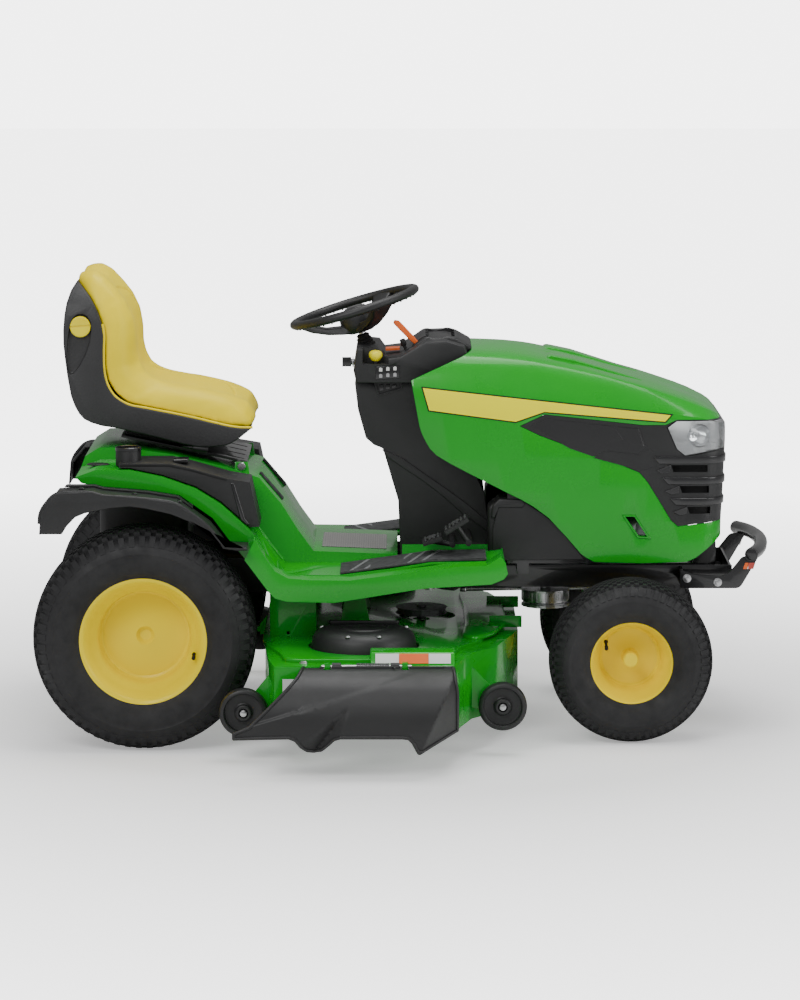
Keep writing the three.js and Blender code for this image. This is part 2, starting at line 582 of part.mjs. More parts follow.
const lever = { x: 690, y: -100, z: 952, pin: 6 };
const knob = { x: 573, y: -148, radius: 17, floor: 930 };
const keyAt = { y: -110, z: 930 };
function dashConsole() {
  const outer = [
    [524, dashTop], [517, 914], [526, 970], [582, 964], [596, 945], [636, 950], [698, 987], [752, 989],
    [798, 975], [806, 955], [806, dashTop],
  ];
  const inner = [
    [531, 800], [523, 914], [532, 963], [579, 958], [593, 938], [638, 943], [700, 981], [751, 983],
    [793, 970], [800, 953], [800, 800],
  ];
  const half = dashHalf - shellWall;
  const pocketWall = block([500, 616], [-200, -120], [knob.floor - shellWall, 1000]);
  const pocket = block([540, 606], [-200, -126], [knob.floor, 1000]);
  const hollow = cut(side(inner, [-half, half]), pocketWall);
  const shaftHole = bar(down(-120).toArray(), down(120).toArray(), column.radius + 4, 16);
  const slot = block([646, 722], [lever.y - 7, lever.y + 7], [930, 1010]);
  const knobHole = bar([knob.x, knob.y, 900], [knob.x, knob.y, 940], 6 + running);
  const keyHole = bar([500, keyAt.y, keyAt.z], [540, keyAt.y, keyAt.z], 8 + running);
  return cut(side(outer, [-dashHalf, dashHalf], 6), hollow, pocket, shaftHole, slot, knobHole, keyHole);
}
piece('dash_console', dashConsole(), paint.black);
piece('throttle_lever', join(
  bar([lever.x, lever.y - 6, lever.z], [lever.x, lever.y + 6, lever.z], lever.pin),
  bar([lever.x, lever.y, lever.z], [640, lever.y, 1014], 4.5),
  bar([640, lever.y, 1014], [622, lever.y, 1036], 9, 10),
), paint.orange);
piece('pto_knob', join(
  bar([knob.x, knob.y, 890], [knob.x, knob.y, knob.floor + 8], 6),
  turnedUp([[0, knob.floor + 6], [10, knob.floor + 6], [knob.radius, knob.floor + 18],
    [knob.radius, knob.floor + 26], [12, knob.floor + 33], [0, knob.floor + 34]], 16, [knob.x, knob.y]),
), paint.yellow);
piece('ignition_key', join(
  bar([510, keyAt.y, keyAt.z], [545, keyAt.y, keyAt.z], 8, 16),
  block([488, 511], [keyAt.y - 3, keyAt.y + 3], [keyAt.z - 12, keyAt.z + 12]),
), paint.black);

// ---- Fender and footrests ------------------------------------------------------------------------
const tunnelHalf = 200;
const tunnelLine = [
  [-177, 655], [-160, 700], [-125, 722], [-60, 722], [60, 705], [200, 672], [279, 645], [335, 579],
  [375, 515], [416, 458], [628, 450],
];
const fenderLine = [
  [-169, 674], [-120, 692], [-35, 692], [47, 675], [129, 646], [190, 608], [260, 545], [325, 455],
  [345, 430], [486, 428], [608, 443], [713, 460], [852, 463], [893, 470],
];
const seatPin = { x: 234, z: 673, radius: 6 };
function both(make) {
  const right = make();
  return [right, mirror(right)];
}
function fenderDeck() {
  const tunnel = side(sheet(tunnelLine, -shellWall), [-tunnelHalf, tunnelHalf]);
  const tunnelWall = both(() => side([
    ...tunnelLine, [628, 440], [500, 424], [345, 426], [325, 450], [260, 538], [190, 600], [129, 638],
    [47, 668], [-35, 685], [-120, 685], [-165, 640],
  ], [-tunnelHalf, -tunnelHalf + shellWall]));
  const tops = both(() => side(sheet(fenderLine, -shellWall), [-fenderHalf, -tunnelHalf + shellWall]));
  const band = both(() => side([
    ...fenderLine.slice(0, 8), [300, 462], [251, 468], [210, 518], [170, 572], [88, 630], [6, 643],
    [-97, 651], [-154, 659],
  ], [-fenderHalf, -fenderHalf + shellWall]));
  const edgeLine = [
    [277, 528], [302, 484], [326, 449], [359, 431], [411, 427], [510, 426], [684, 449], [770, 460],
    [850, 463], [884, 486],
  ];
  const outerFloor = both(() => (
    side(sheet(edgeLine, -shellWall), [-footrestHalf + 4, -fenderHalf + shellWall])));
  const outerWall = both(() => side([
    ...edgeLine, [895, 471], [901, 442], [891, 429], [860, 416], [694, 406], [543, 383], [472, 370],
    [356, 373], [326, 381], [311, 396], [281, 437], [251, 477],
  ], [-footrestHalf, -footrestHalf + shellWall]));
  const innerLip = both(() => side([[640, 440], [640, 478], [890, 478], [890, 455]], [-222, -217]));
  const frontWall = both(() => block([889, 893], [-footrestHalf + 2, -217], [432, 472]));
  const seatLugs = both(() => cut(
    side([[216, 655], [218, 684], [250, 684], [256, 640]], [-190, -184]),
    bar([seatPin.x, -200, seatPin.z], [seatPin.x, -150, seatPin.z], seatPin.radius + running),
  ));
  return join(tunnel, ...tunnelWall, ...tops, ...band, ...outerFloor, ...outerWall, ...innerLip, ...frontWall,
    ...seatLugs);
}
piece('fender_deck', fenderDeck(), paint.green);

const flareLine = [
  [-252, 546], [-247, 600], [-208, 648], [-122, 652], [-98, 645], [10, 636], [84, 624], [165, 566],
  [205, 515], [258, 512],
];
const consoleLine = [
  [-62, 696], [-62, 707], [64, 707], [113, 696], [208, 669], [262, 660], [286, 549], [264, 548],
  [192, 612], [130, 650], [47, 679], [-34, 696],
];
const cupAt = [-42, -330];
for (const sign of [-1, 1]) {
  const name = sign < 0 ? 'right' : 'left';
  const place = (shape) => (sign < 0 ? shape : mirror(shape));
  piece(`wheel_flare_${name}`, place(side(sheet(flareLine, -shellWall), [-flareHalf, -fenderHalf - touch])),
    paint.black);
  const cover = side(consoleLine, [-395, -245]);
  const hollow = side(inset(consoleLine, shellWall).map(([x, z]) => [x, z - 4]), [-390, -250]);
  const floor = side(inset(consoleLine, shellWall).map(([x, z]) => [x, z - 12]), [-390, -250]);
  const cup = turnedUp([[0, 695], [32, 695], [32, 738], [28, 738], [28, 702], [0, 702]], 16, cupAt);
  const cupRoom = turnedUp([[0, 702], [28, 702], [28, 760], [0, 760]], 16, cupAt);
  piece(`fender_console_${name}`, place(cut(join(cut(cover, hollow, floor), cup), cupRoom)), paint.black);
  const matLine = beside(fenderLine.slice(9, 13), touch).map(([x, z]) => [Math.min(x, 850), z]);
  piece(`foot_mat_${name}`, place(side(sheet(matLine, 5), [-392, -232])), paint.mat);
}

function fuelTank() {
  return side([[-130, 434], [-130, 610], [-100, 640], [70, 640], [95, 610], [95, 434]], [-135, 135], 16);
}
piece('fuel_tank', fuelTank(), paint.black);

// ---- Seat ----------------------------------------------------------------------------------------
function seatBracket() {
  const pan = side(sheet([[-70, 750], [140, 708], [248, 683]], -6), [-165, 165]);
  const lugLine = [[225, 665], [221, 674], [223, 689], [248, 682], [247, 672], [240, 665]];
  const lugs = [-1, 1].map((sign) => side(lugLine, [sign * 163 - 3, sign * 163 + 3]));
  const pin = bar([seatPin.x, -192, seatPin.z], [seatPin.x, 192, seatPin.z], seatPin.radius);
  const railLine = [[-60, 742], [-60, 764], [120, 723.5], [120, 706]];
  const rails = [-120, 120].map((y) => side(railLine, [y - 10, y + 10]));
  return join(pan, ...lugs, pin, ...rails);
}
piece('seat_bracket', seatBracket(), paint.blackPaint);
const seam = [
  [-180, 1140], [-147, 1106], [-121, 1057], [-110, 1008], [-111, 931], [-100, 877], [-51, 832], [38, 814],
  [128, 795], [209, 775], [262, 772],
];
piece('seat_shell', side([
  [224, 743], [195, 728], [127, 725], [38, 746], [-79, 773], [-142, 786], [-173, 809],
  [-193, 854], [-207, 945], [-211, 1021], [-203, 1088], ...seam,
], [-seatHalf, seatHalf]), paint.shell);
piece('seat_cushion', side([
  ...beside(seam, touch), [278, 778], [282, 800], [262, 830], [190, 858], [110, 874], [40, 884], [0, 902],
  [-24, 940], [-28, 1000], [-32, 1045], [-60, 1092], [-104, 1146], [-138, 1168], [-168, 1164], [-184, 1150],
], [-seatHalf + 2, seatHalf - 2]), paint.yellow);

// ---- Pedals --------------------------------------------------------------------------------------
/** A foot pedal: a cross shaft from the pedestal's wall, an arm and a sloped pad. */
function pedal({ x, z, padX, padZ, length, tilt, reach }) {
  const wallSide = -pedestalHalf - running;
  const shaft = bar([x, wallSide, z], [x, -reach, z], 8);
  const arm = bar([x, -reach + 8, z], [padX, -reach + 8, padZ], 7);
  const pad = new THREE.BoxGeometry(length, 74, 10);
  pad.rotateY(-rad(tilt)).translate(padX, -reach + 8, padZ + 4);
  return join(shaft, arm, solid(pad));
}
const forwardPedal = { x: 806, z: 498, padX: 776, padZ: 540, length: 66, tilt: 32, reach: 330 };
const reversePedal = { x: 766, z: 488, padX: 716, padZ: 496, length: 50, tilt: 18, reach: 290 };
const brakePedal = { x: 806, z: 498, padX: 772, padZ: 546, length: 92, tilt: 32, reach: 330 };
piece('forward_pedal', pedal(forwardPedal), paint.black);
piece('reverse_pedal', pedal(reversePedal), paint.black);
piece('brake_pedal', mirror(pedal(brakePedal)), paint.black);

// ---- Mower deck ----------------------------------------------------------------------------------
const spindles = [
  { name: 'right', x: blade.sideX, y: -blade.sideY }, { name: 'middle', x: blade.midX, y: 0 },
  { name: 'left', x: blade.sideX, y: blade.sideY },
];
const deckPlan = [
  [deck.rear, -420], [deck.rear, 420], [320, 610], [400, deck.half], [700, deck.half], [785, 600],
  [812, 500], [872, 420], [deck.front, 170], [deck.front, -170], [872, -420], [812, -500], [785, -600],
  [765, -deck.half], [330, -deck.half], [315, -600],
];
const hinge = { y: -deck.half - 8, z: deck.top + 2, radius: 5 };
const lugSpans = [[452, 466], [640, 654]];
const gaugePlaces = [
  ['rear_right', gauge.rearX, -gauge.rearY], ['rear_left', gauge.rearX, gauge.rearY],
  ['front_right', gauge.frontX, -gauge.frontY], ['front_left', gauge.frontX, gauge.frontY],
];
function deckShell() {
  const outer = plan(deckPlan, [deck.bottom, deck.top]);
  const inner = plan(inset(deckPlan, deck.wall), [deck.bottom - 10, deck.top - deck.wall]);
  const mouth = block([350, 690], [-deck.half - 20, -deck.half + 20], [deck.bottom - 10, deck.top - 30]);
  const holes = spindles.map(({ x, y }) => bar([x, y, deck.top - 10], [x, y, deck.top + 10], 22, 16));
  const ribLine = [[480, deck.top - 2], [500, 352], [540, 352], [560, deck.top - 2]];
  const stiffener = [-118, 112].map((y) => side(ribLine, [y, y + 6]));
  const lugs = lugSpans.map((span) => cut(
    front([[-deck.half + 6, deck.top - 10], [-deck.half + 6, deck.top + 12], [hinge.y - 9, deck.top + 12],
      [hinge.y - 9, deck.top - 10]], span),
    bar([400, hinge.y, hinge.z], [700, hinge.y, hinge.z], hinge.radius + running),
  ));
  const arms = gaugePlaces.map(([, x, y]) => {
    const inboard = y < 0 ? 1 : -1;
    const yArm = y + inboard * (gauge.half + 3);
    const width = [yArm - 3, yArm + 3];
    const wallX = x < 500 ? 330 : 800;
    const plate = side([[wallX, gauge.z - 6], [wallX, deck.top - 20], [x, gauge.z + 14], [x, gauge.z - 14]],
      width);
    const across = [Math.min(yArm, yArm + inboard * 45), Math.max(yArm, yArm + inboard * 45)];
    const strut = block([wallX - (x < 500 ? 6 : 0), wallX + (x < 500 ? 0 : 6)], across,
      [gauge.z - 6, deck.top - 20]);
    const stub = bar([x, yArm, gauge.z], [x, y - inboard * (gauge.half - 4), gauge.z], 8);
    return join(plate, strut, stub);
  });
  const shell = cut(outer, inner, mouth, ...holes);
  return join(shell, ...stiffener, ...lugs, ...arms);
}
piece('deck_shell', deckShell(), paint.green);

for (const [name, x, y] of gaugePlaces) {
  const group = new THREE.Group();
  group.position.set(x, y, gauge.z);
  group.rotation.z = y < 0 ? 0 : Math.PI;
  const [r, h] = [gauge.radius, gauge.half];
  piece(`gauge_wheel_${name}`, turned([
    [8 + running, -h + 4], [20, -h], [r - 8, -h + 2], [r, -h + 10], [r, h - 10], [r - 8, h - 2],
    [8 + running, h - 1],
  ], 16, Math.PI / 16), paint.black, group);
  machine.add(group);
}

/** Spindle shaft with its pulley above the deck and its blade below. */
function spindleAndBlade({ x, y }) {
  const shaft = bar([x, y, 100], [x, y, 286], 12);
  const wheelTop = pulley(62, [x, y], 266);
  const hub = bar([x, y, 110], [x, y, 150], 24);
  const [r, w] = [blade.radius, blade.width / 2];
  const knife = plan([[-r, -w], [-r, w * 0.4], [-r + 90, w], [r, w], [r, -w * 0.4], [r - 90, -w]]
    .map(([a, b]) => [x + a, y + b]), [blade.z, blade.z + blade.thick]);
  const lifts = [-1, 1].map((s) => block([x + s * (r - 35) - 30, x + s * (r - 35) + 30],
    [y + s * w - (s > 0 ? 4 : 0), y + s * w + (s > 0 ? 0 : 4)], [blade.z, blade.z + 26]));
  return join(shaft, wheelTop, hub, knife, ...lifts);
}
for (const place of spindles) piece(`blade_spindle_${place.name}`, spindleAndBlade(place), paint.iron);

for (const sign of [-1, 1]) {
  const foot = deck.top + touch;
  const cover = turnedUp([
    [0, 306], [100, 304], [128, 292], [134, foot], [129, foot], [123, 288], [97, 299], [0, 301],
  ], 20, [blade.sideX, sign * blade.sideY]);
  piece(`belt_cover_${sign < 0 ? 'right' : 'left'}`, cover, paint.black);
}

function chute() {
  const profile = sheet([[hinge.y - 2, hinge.z - 2], [-724, 250], [-790, 218], [-828, 160], [-834, 66]],
    shellWall);
  const reach = front(profile, [240, 774]);
  const noseLine = [[-704, 244], [-724, 247], [-790, 214], [-826, 158], [-831, 110], [-704, 110]];
  const nose = front(noseLine, [768, 774]);
  const outline = side([
    [235, 100], [235, 112], [275, 126], [388, 236], [408, 262], [742, 262], [768, 244], [780, 198],
    [780, 112], [680, 66], [655, 104], [480, 104], [443, 66], [414, 66], [372, 104],
  ], [-850, -680]);
  const rod = bar([446, hinge.y, hinge.z], [660, hinge.y, hinge.z], hinge.radius);
  const rest = lugSpans.map(([a, b]) => block([a - 2, b + 2], [-730, -680], [deck.top - 14, deck.top + 20]));
  return join(cut(join(reach, nose).intersect(outline), ...rest), rod);
}
piece('discharge_chute', chute(), paint.black);

const lift = { x: 410, z: 392, radius: 10, arm: 90, lean: 22 };
function liftShaft() {
  const half = frame.half - frame.wall - running;
  const shaft = bar([lift.x, -half, lift.z], [lift.x, half, lift.z], lift.radius);
  const end = [lift.x + lift.arm * Math.cos(rad(lift.lean)), lift.z - lift.arm * Math.sin(rad(lift.lean))];
  const arms = [-1, 1].map((sign) => join(
    bar([lift.x, sign * 130, lift.z], [end[0], sign * 130, end[1]], 6),
    bar([end[0], sign * 124, end[1]], [end[0], sign * 136, end[1]], 8),
  ));
  return join(shaft, ...arms);
}
piece('lift_shaft', liftShaft(), paint.iron);

// ---- Origin --------------------------------------------------------------------------------------
machine.updateMatrixWorld(true);
const bounds = new THREE.Box3().setFromObject(machine, true);
const middle = bounds.getCenter(new THREE.Vector3());
machine.position.set(-middle.x, -middle.y, -bounds.min.z);
export default machine;
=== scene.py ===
"""Looks for the riding lawn mower: materials, rounded panels, wheels, seat, controls and stage."""
import math

import bpy
from mathutils import Matrix, Vector


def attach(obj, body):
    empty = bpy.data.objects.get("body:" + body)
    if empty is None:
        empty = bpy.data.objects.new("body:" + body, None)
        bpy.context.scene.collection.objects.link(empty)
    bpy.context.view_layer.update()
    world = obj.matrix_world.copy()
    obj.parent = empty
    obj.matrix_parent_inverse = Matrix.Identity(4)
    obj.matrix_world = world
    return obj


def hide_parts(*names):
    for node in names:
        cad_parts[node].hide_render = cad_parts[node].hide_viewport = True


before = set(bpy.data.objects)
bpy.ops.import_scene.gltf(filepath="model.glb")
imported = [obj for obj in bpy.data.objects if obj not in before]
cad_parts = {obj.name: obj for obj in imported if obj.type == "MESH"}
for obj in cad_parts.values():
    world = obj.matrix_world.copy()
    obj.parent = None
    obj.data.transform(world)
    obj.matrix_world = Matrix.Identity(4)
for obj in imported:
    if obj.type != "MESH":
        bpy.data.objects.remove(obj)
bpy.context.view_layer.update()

# Pieces are laid out in millimetres from the rear axle's middle over the ground, and moved to the row's frame here.
AXLE_X, MIDDLE_Y = -0.652667, 0.072


def spot(x, y, z):
    return Vector((x / 1000 + AXLE_X, y / 1000 + MIDDLE_Y, z / 1000))


# ---- Workshop ----------------------------------------------------------------------------------

def deselect():
    if bpy.context.object and bpy.context.object.mode != 'OBJECT':
        bpy.ops.object.mode_set(mode='OBJECT')
    bpy.ops.object.select_all(action='DESELECT')


def take(obj, *others):
    """Makes an object active and selects it, with others beside it."""
    deselect()
    for one in (obj, *others):
        one.select_set(True)
    bpy.context.view_layer.objects.active = obj
    return obj


def fresh(name):
    """Names the primitive that was just added."""
    obj = bpy.context.object
    obj.name = name
    obj.data.name = name
    return obj


def edit(obj, kind='FACE', pick=None):
    """Opens a piece in edit mode with the wanted faces, edges or verts picked by a test on them."""
    take(obj)
    bpy.ops.object.mode_set(mode='EDIT')
    bpy.ops.mesh.select_mode(type=kind)
    bpy.ops.mesh.select_all(action='SELECT' if pick is None else 'DESELECT')
    if pick is not None:
        bpy.ops.object.mode_set(mode='OBJECT')
        mesh = obj.data
        for part in {'FACE': mesh.polygons, 'EDGE': mesh.edges, 'VERT': mesh.vertices}[kind]:
            part.select = bool(pick(part))
        bpy.ops.object.mode_set(mode='EDIT')


def done():
    bpy.ops.object.mode_set(mode='OBJECT')


def recalculated(obj, merge=0.00001):
    edit(obj)
    bpy.ops.mesh.remove_doubles(threshold=merge)
    bpy.ops.mesh.normals_make_consistent(inside=False)
    done()
    return obj


def settled(obj):
    """Puts a piece's turn, size and place into its mesh."""
    take(obj)
    bpy.ops.object.transform_apply(location=True, rotation=True, scale=True)
    return obj


def with_modifier(obj, kind, **settings):
    take(obj)
    modifier = obj.modifiers.new(kind.title(), kind)
    for key, value in settings.items():
        setattr(modifier, key, value)
    bpy.ops.object.modifier_apply(modifier=modifier.name)
    return obj


def rounded(obj, width, segments=2, angle=30):
    """Rounds a piece's sharp edges; width in millimetres."""
    return with_modifier(obj, 'BEVEL', width=width / 1000, segments=segments, limit_method='ANGLE',
                         angle_limit=math.radians(angle), harden_normals=False, use_clamp_overlap=True)


def cut(obj, *tools):
    for tool in tools:
        with_modifier(obj, 'BOOLEAN', operation='DIFFERENCE', object=tool, solver='EXACT')
        bpy.data.objects.remove(tool)
    return obj


def kept_inside(obj, tool):
    with_modifier(obj, 'BOOLEAN', operation='INTERSECT', object=tool, solver='EXACT')
    bpy.data.objects.remove(tool)
    return obj


def joined(first, *others):
    if others:
        take(first, *others)
        bpy.ops.object.join()
    return first


def copied(obj, name, move=(0, 0, 0)):
    """A copy with its own mesh, moved by millimetres."""
    twin = obj.copy()
    twin.data = obj.data.copy()
    twin.name = name
    twin.data.name = name
    bpy.context.scene.collection.objects.link(twin)
    twin.data.transform(Matrix.Translation(Vector(move) / 1000))
    return twin


def mirrored(obj, name):
    """The same piece on the other side of the machine's middle."""
    twin = copied(obj, name)
    twin.data.transform(Matrix.Translation((0, MIDDLE_Y, 0)) @ Matrix.Scale(-1, 4, (0, 1, 0))
                        @ Matrix.Translation((0, -MIDDLE_Y, 0)))
    twin.data.flip_normals()
    return twin


def smooth(obj, angle=35):
    take(obj)
    bpy.ops.object.shade_smooth_by_angle(angle=math.radians(angle))
    return obj


CLAIMED = []


def fitted(obj, body, finish, angle=35, stands_for=()):
    """Shades a piece, gives it its finish and puts it on a body."""
    smooth(obj, angle)
    if finish is not None:
        obj.data.materials.clear()
        obj.data.materials.append(finish)
    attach(obj, body)
    if stands_for:
        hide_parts(*stands_for)
        CLAIMED.extend(stands_for)
    return obj


def laid(view, a, b, depth):
    """A point of a side, plan or front outline at a depth along the view."""
    if view == 'side':
        return spot(a, depth, b)
    if view == 'plan':
        return spot(a, b, depth)
    return spot(depth, a, b)


def slab(name, points, low, high, view='side'):
    """An outline drawn in one view and extruded from one depth to another."""
    bpy.ops.object.select_all(action='DESELECT')
    bpy.ops.mesh.primitive_circle_add(vertices=len(points), radius=0.1, fill_type='NGON')
    obj = fresh(name)
    for vertex, (a, b) in zip(obj.data.vertices, points):
        vertex.co = laid(view, a, b, low)
    way = laid(view, 0, 0, high) - laid(view, 0, 0, low)
    edit(obj)
    bpy.ops.mesh.extrude_region_move(TRANSFORM_OT_translate={"value": tuple(way)})
    bpy.ops.mesh.select_all(action='SELECT')
    bpy.ops.mesh.normals_make_consistent(inside=False)
    done()
    return obj


def brick(name, x, y, z, edge=1.5, segments=2):
    """A rounded block between two values along each axis."""
    obj = slab(name, [(x[0], z[0]), (x[1], z[0]), (x[1], z[1]), (x[0], z[1])], y[0], y[1])
    return rounded(obj, edge, segments) if edge else obj


def spun(name, profile, centre, axis='Y', steps=64, closed=True):
    """A profile of (radius, along) turned about an axis; an open one starts and ends on the axis."""
    bpy.ops.object.select_all(action='DESELECT')
    bpy.ops.mesh.primitive_circle_add(vertices=len(profile), radius=0.1, fill_type='NOTHING')
    obj = fresh(name)
    middle = spot(*centre)
    along = Vector((0, 1, 0)) if axis == 'Y' else (Vector((0, 0, 1)) if axis == 'Z' else Vector((1, 0, 0)))
    out = Vector((0, 0, 1)) if axis == 'X' else Vector((1, 0, 0))
    for vertex, (r, h) in zip(obj.data.vertices, profile):
        vertex.co = middle + out * (r / 1000) + along * (h / 1000)
    if not closed:
        last = len(profile) - 1
        edit(obj, 'EDGE', lambda e: set(e.vertices) == {0, last})
        bpy.ops.mesh.delete(type='EDGE')
        done()
    edit(obj)
    bpy.ops.mesh.spin(steps=steps, angle=2 * math.pi, center=tuple(middle), axis=tuple(along))
    done()
    return recalculated(obj, 0.00002)


def rod(name, start, end, radius, sides=20, cap=1.0):
    """A round bar with softened ends between two places, in millimetres."""
    a, b = spot(*start), spot(*end)
    way = b - a
    bpy.ops.object.select_all(action='DESELECT')
    bpy.ops.mesh.primitive_cylinder_add(vertices=sides, radius=radius / 1000, depth=way.length)
    obj = fresh(name)
    obj.data.transform(Matrix.Translation((a + b) / 2) @ way.to_track_quat('Z', 'Y').to_matrix().to_4x4())
    return rounded(obj, min(cap, radius * 0.4), 2, 60) if cap else obj


def tube(name, points, radius, sides=6, closed=False, resolution=8):
    """A smooth bent tube through places in millimetres."""
    curve = bpy.data.curves.new(name, 'CURVE')
    curve.dimensions = '3D'
    curve.bevel_depth = radius / 1000
    curve.bevel_resolution = sides
    curve.resolution_u = resolution
    curve.use_fill_caps = True
    line = curve.splines.new('BEZIER')
    line.bezier_points.add(len(points) - 1)
    for point, place in zip(line.bezier_points, points):
        point.co = spot(*place)
        point.handle_left_type = point.handle_right_type = 'AUTO'
    line.use_cyclic_u = closed
    obj = bpy.data.objects.new(name, curve)
    bpy.context.scene.collection.objects.link(obj)
    take(obj)
    bpy.ops.object.convert(target='MESH')
    return recalculated(bpy.context.object)


def hexbolt(name, centre, axis, size=8, height=6, washer=True):
    """A flanged hexagon bolt head lying on a face; axis is the way it stands out."""
    bpy.ops.object.select_all(action='DESELECT')
    bpy.ops.mesh.primitive_cylinder_add(vertices=6, radius=size / 1000, depth=height / 1000,
                                        location=(0, 0, height / 2000))
    head = rounded(settled(fresh(name)), 0.9, 2, 30)
    if washer:
        bpy.ops.object.select_all(action='DESELECT')
        bpy.ops.mesh.primitive_cylinder_add(vertices=24, radius=size * 1.35 / 1000, depth=0.0024,
                                            location=(0, 0, 0.0008))
        head = joined(head, rounded(settled(fresh(name + '_flange')), 0.6, 2, 40))
    head.data.transform(Matrix.Translation(spot(*centre)) @ Vector(axis).to_track_quat('Z', 'Y').to_matrix().to_4x4())
    return head


def softened(node, name, width=3, segments=2, dissolve=3, angle=30):
    """A copy of a CAD node with its flat faces merged and its edges rounded."""
    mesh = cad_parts[node].data.copy()
    mesh.name = name
    obj = bpy.data.objects.new(name, mesh)
    bpy.context.scene.collection.objects.link(obj)
    edit(obj)
    bpy.ops.mesh.remove_doubles(threshold=0.00002)
    bpy.ops.mesh.dissolve_limited(angle_limit=math.radians(dissolve))
    done()
    return rounded(obj, width, segments, angle)


# ---- Finishes ----------------------------------------------------------------------------------

def shader(name, roughness, metallic=0.0, coat=0.0, coat_roughness=0.05, specular=0.5):
    material = bpy.data.materials.new(name)
    material.use_nodes = True
    surface = material.node_tree.nodes["Principled BSDF"]
    surface.inputs["Roughness"].default_value = roughness
    surface.inputs["Metallic"].default_value = metallic
    surface.inputs["Coat Weight"].default_value = coat
    surface.inputs["Coat Roughness"].default_value = coat_roughness
    surface.inputs["Specular IOR Level"].default_value = specular
    return material, surface


def node(material, kind, **inputs):
    made = material.node_tree.nodes.new(kind)
    for key, value in inputs.items():
        made.inputs[key.replace('_', ' ')].default_value = value
    return made


def wire(material, start, end):
    material.node_tree.links.new(start, end)


def place_on(material, stretch=(1, 1, 1)):
    where = node(material, 'ShaderNodeTexCoord')
    scale = node(material, 'ShaderNodeMapping', Scale=stretch)
    wire(material, where.outputs["Object"], scale.inputs["Vector"])
    return scale.outputs["Vector"]


def noise(material, where, scale, detail=3.0, rough=0.55):
    made = node(material, 'ShaderNodeTexNoise', Scale=scale, Detail=detail, Roughness=rough)
    wire(material, where, made.inputs["Vector"])
    return made.outputs["Fac"]


def ramp(material, value, *stops):
    """Colours or greys by value; each stop is (place, colour)."""
    made = node(material, 'ShaderNodeValToRGB')
    band = made.color_ramp
    while len(band.elements) < len(stops):
        band.elements.new(0.5)
    for element, (place, colour) in zip(band.elements, stops):
        element.position = place
        grey = isinstance(colour, (int, float))
        element.color = (colour, colour, colour, 1) if grey else (*colour, 1)
    wire(material, value, made.inputs["Fac"])
    return made.outputs["Color"]


def relief(material, surface, height, strength, distance, under=None):
    made = node(material, 'ShaderNodeBump', Strength=strength, Distance=distance)
    wire(material, height, made.inputs["Height"])
    if under is not None:
        wire(material, under, made.inputs["Normal"])
    wire(material, made.outputs["Normal"], surface.inputs["Normal"])
    return made.outputs["Normal"]


def shade(colour, factor):
    return tuple(min(1.0, channel * factor) for channel in colour)


def gloss_paint(name, colour, peel=0.05, roughness=0.28, coat=0.9, specular=0.5):
    """Sprayed enamel: faint orange peel, slow shade changes and dull patches."""
    material, surface = shader(name, roughness, coat=coat, coat_roughness=0.06, specular=specular)
    where = place_on(material)
    wire(material, ramp(material, noise(material, where, 2.4, 4), (0.3, shade(colour, 0.93)),
                        (0.7, shade(colour, 1.05))),
         surface.inputs["Base Color"])
    wire(material, ramp(material, noise(material, where, 9, 5), (0.35, roughness * 0.85),
                        (0.75, roughness * 1.3)),
         surface.inputs["Roughness"])
    relief(material, surface, noise(material, where, 240, 2), peel, 0.0004)
    return material


def moulded(name, colour, grain=900, depth=0.25, roughness=0.5, coat=0.0):
    """Injection-moulded plastic with a fine spark-eroded grain."""
    material, surface = shader(name, roughness, coat=coat)
    where = place_on(material)
    broad = noise(material, where, 5, 4)
    wire(material, ramp(material, broad, (0.3, shade(colour, 0.85)), (0.7, shade(colour, 1.2))),
         surface.inputs["Base Color"])
    wire(material, ramp(material, noise(material, where, 14, 5), (0.3, roughness * 0.88),
                        (0.7, min(1, roughness * 1.15))),
         surface.inputs["Roughness"])
    cells = node(material, 'ShaderNodeTexVoronoi', Scale=grain, Randomness=1.0)
    cells.feature = 'SMOOTH_F1'
    wire(material, where, cells.inputs["Vector"])
    relief(material, surface, cells.outputs["Distance"], depth, 0.0006)
    return material


def metal(name, colour, roughness, stretch=(1, 1, 1), scale=300, depth=0.1):
    material, surface = shader(name, roughness, metallic=1.0)
    where = place_on(material, stretch)
    wire(material, ramp(material, noise(material, where, 12, 4), (0.3, shade(colour, 0.8)),
                        (0.7, shade(colour, 1.1))),
         surface.inputs["Base Color"])
    wire(material, ramp(material, noise(material, where, scale, 3), (0.3, roughness * 0.8),
                        (0.7, min(1, roughness * 1.3))),
         surface.inputs["Roughness"])
    relief(material, surface, noise(material, where, scale, 3), depth, 0.0005)
    return material


def tyre_rubber():
    material, surface = shader('tyre_rubber', 0.72, specular=0.4)
    where = place_on(material)
    dust = noise(material, where, 7, 6)
    wire(material, ramp(material, dust, (0.3, (0.011, 0.011, 0.012)), (0.75, (0.024, 0.024, 0.025))),
         surface.inputs["Base Color"])
    wire(material, ramp(material, noise(material, where, 30, 4), (0.3, 0.52), (0.7, 0.8)),
         surface.inputs["Roughness"])
    relief(material, surface, noise(material, where, 700, 4), 0.25, 0.0006)
    return material


